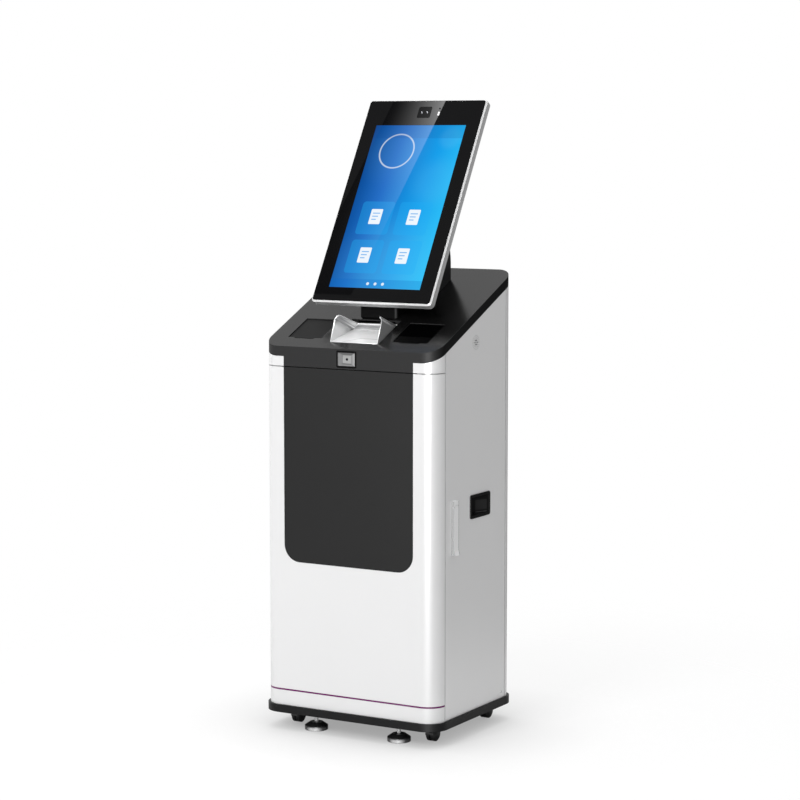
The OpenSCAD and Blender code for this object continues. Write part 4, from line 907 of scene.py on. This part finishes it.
def makeFloor():
    look = floorLook
    bpy.ops.mesh.primitive_circle_add(vertices=look["sides"], radius=look["radius"], fill_type="NGON")
    floor = bpy.context.object
    floor.name = "floor"
    f = Finish("paleFloor")
    spot = f.split(f.place())
    fade = f.span(length(spot.other("X"), spot.other("Y")), *look["fade"])
    seen = f.add("LightPath", out="Is Camera Ray")
    pale = f.add("BsdfDiffuse", None, {"Color": f.blend(seen, look["bounce"], look["seen"])})
    clear = f.add("AmbientOcclusion", {"samples": look["samples"]}, {"Distance": look["near"]}, out="AO")
    level = (look["deep"] + clear * (1 - look["deep"])) * look["lift"]
    lift = f.add("Emission", None, {"Strength": seen * level})
    near = f.add("AddShader", None, {0: pale, 1: lift})
    f.output(f.add("MixShader", None, {0: fade, 1: near, 2: f.add("BsdfTransparent")}))
    floor.data.materials.append(f.material)


# world: white to the camera, soft light on the object, a darker room with a bright patch in reflections

worldLook = {"soft": {"axis": (-0.62, -0.58, 0.53), "from": (-0.8, 0.9), "to": (0.53, 0.68)},
             "beside": {"axis": (-0.7, -0.7, 0.0), "from": (-0.6, 0.25), "to": (0.08, 1.0)},
             "above": {"axis": (0, 0, 1), "from": (0.15, 0.7), "to": (1.0, 0.26)},
             "patch": {"axis": (-0.3, 0.6, 0.74), "from": (0.55, 0.96), "to": (0.0, 0.62)}}


def makeWorld():
    world = bpy.data.worlds.new("studio")
    bpy.context.scene.world = world
    world.use_nodes = True
    w = Finish("studio", world.node_tree)
    ray = w.add("LightPath", out="Is Camera Ray")
    seen = w.maths("MAXIMUM", ray, ray.other("Is Transmission Ray"))
    toward = w.add("TexCoord", out="Generated")

    def level(name):
        spec = worldLook[name]
        along = w.add("VectorMath", {"operation": "DOT_PRODUCT"}, {0: toward, 1: spec["axis"]}, out="Value")
        return w.span(along, *spec["from"], *spec["to"])

    soft = level("soft")
    room = level("beside") * level("above") + level("patch")
    light = soft + ray.other("Is Glossy Ray") * (room - soft)
    glow = w.add("Background", None, {"Color": (1, 1, 1), "Strength": light + seen * (1 - light)})
    w.add("OutputWorld", None, {"Surface": glow})


# lamps: the strip lights no matt surface, only reflections

lampLook = {
    "key": {"place": (-0.4, -4.6, 3.4), "aim": (0, 0, 0.9), "size": (1.6, 1.6), "power": 107,
            "diffuse": True},
    "top": {"place": (-0.4, 0.2, 4.2), "aim": (0, 0, 0.9), "size": (2.6, 2.6), "power": 26,
            "diffuse": True},
    "strip": {"place": (1.6, -3.4, 1.1), "aim": (0.2, -0.2, 0.6), "size": (1.9, 2.4), "power": 330,
              "diffuse": False},
}


def makeLamps():
    for name, spec in lampLook.items():
        lamp = bpy.data.lights.new(name, "AREA")
        lamp.shape = "RECTANGLE"
        lamp.size, lamp.size_y = spec["size"]
        lamp.energy = spec["power"]
        holder = bpy.data.objects.new(name, lamp)
        bpy.context.collection.objects.link(holder)
        holder.location = spec["place"]
        toward = Vector(spec["aim"]) - Vector(spec["place"])
        holder.rotation_euler = toward.to_track_quat("-Z", "Y").to_euler()
        holder.visible_diffuse = spec["diffuse"]


# glare card: seen only in reflections, placed so that the display's glass shows it from top to low

glareLook = {"top": (0.0534, 0.5896), "low": (-0.0609, 0.017), "wide": 0.157, "reach": 1.25, "strength": 11.0}


def makeGlareCard():
    look = glareLook
    lean = math.radians(glassPlane["tilt"])
    origin = Vector((0, glassPlane["y"], glassPlane["z"]))
    upward = Vector((0, math.sin(lean), math.cos(lean)))
    outward = Vector((0, -math.cos(lean), math.sin(lean)))
    eye = Vector(shot["place"])
    mirrored = eye - outward * 2 * outward.dot(eye - origin)
    corners = []
    for (u, v), shift in ((look["top"], 0), (look["top"], look["wide"]), (look["low"], look["wide"]),
                          (look["low"], 0)):
        spot = origin + Vector((u - shift, 0, 0)) + upward * v
        corners.append(mirrored + (spot - mirrored) * look["reach"])
    mesh = bpy.data.meshes.new("glareCard")
    mesh.from_pydata(corners, [], [(0, 1, 2, 3)])
    for loop, spot in zip(mesh.uv_layers.new().data, ((0, 0), (1, 0), (1, 1), (0, 1))):
        loop.uv = spot
    card = bpy.data.objects.new("glareCard", mesh)
    bpy.context.collection.objects.link(card)
    f = Finish("glareCard")
    spot = f.split(f.add("TexCoord", out="UV"))
    fall = (1 - spot) ** 2 * (1 - spot.other("Y")) ** 2
    mesh.materials.append(f.output(f.add("Emission", None, {"Strength": fall * look["strength"]})))
    for kind in ("camera", "diffuse", "transmission", "volume_scatter", "shadow"):
        setattr(card, "visible_" + kind, False)


makeFloor()
makeWorld()
makeLamps()
makeGlareCard()
print("studio set")
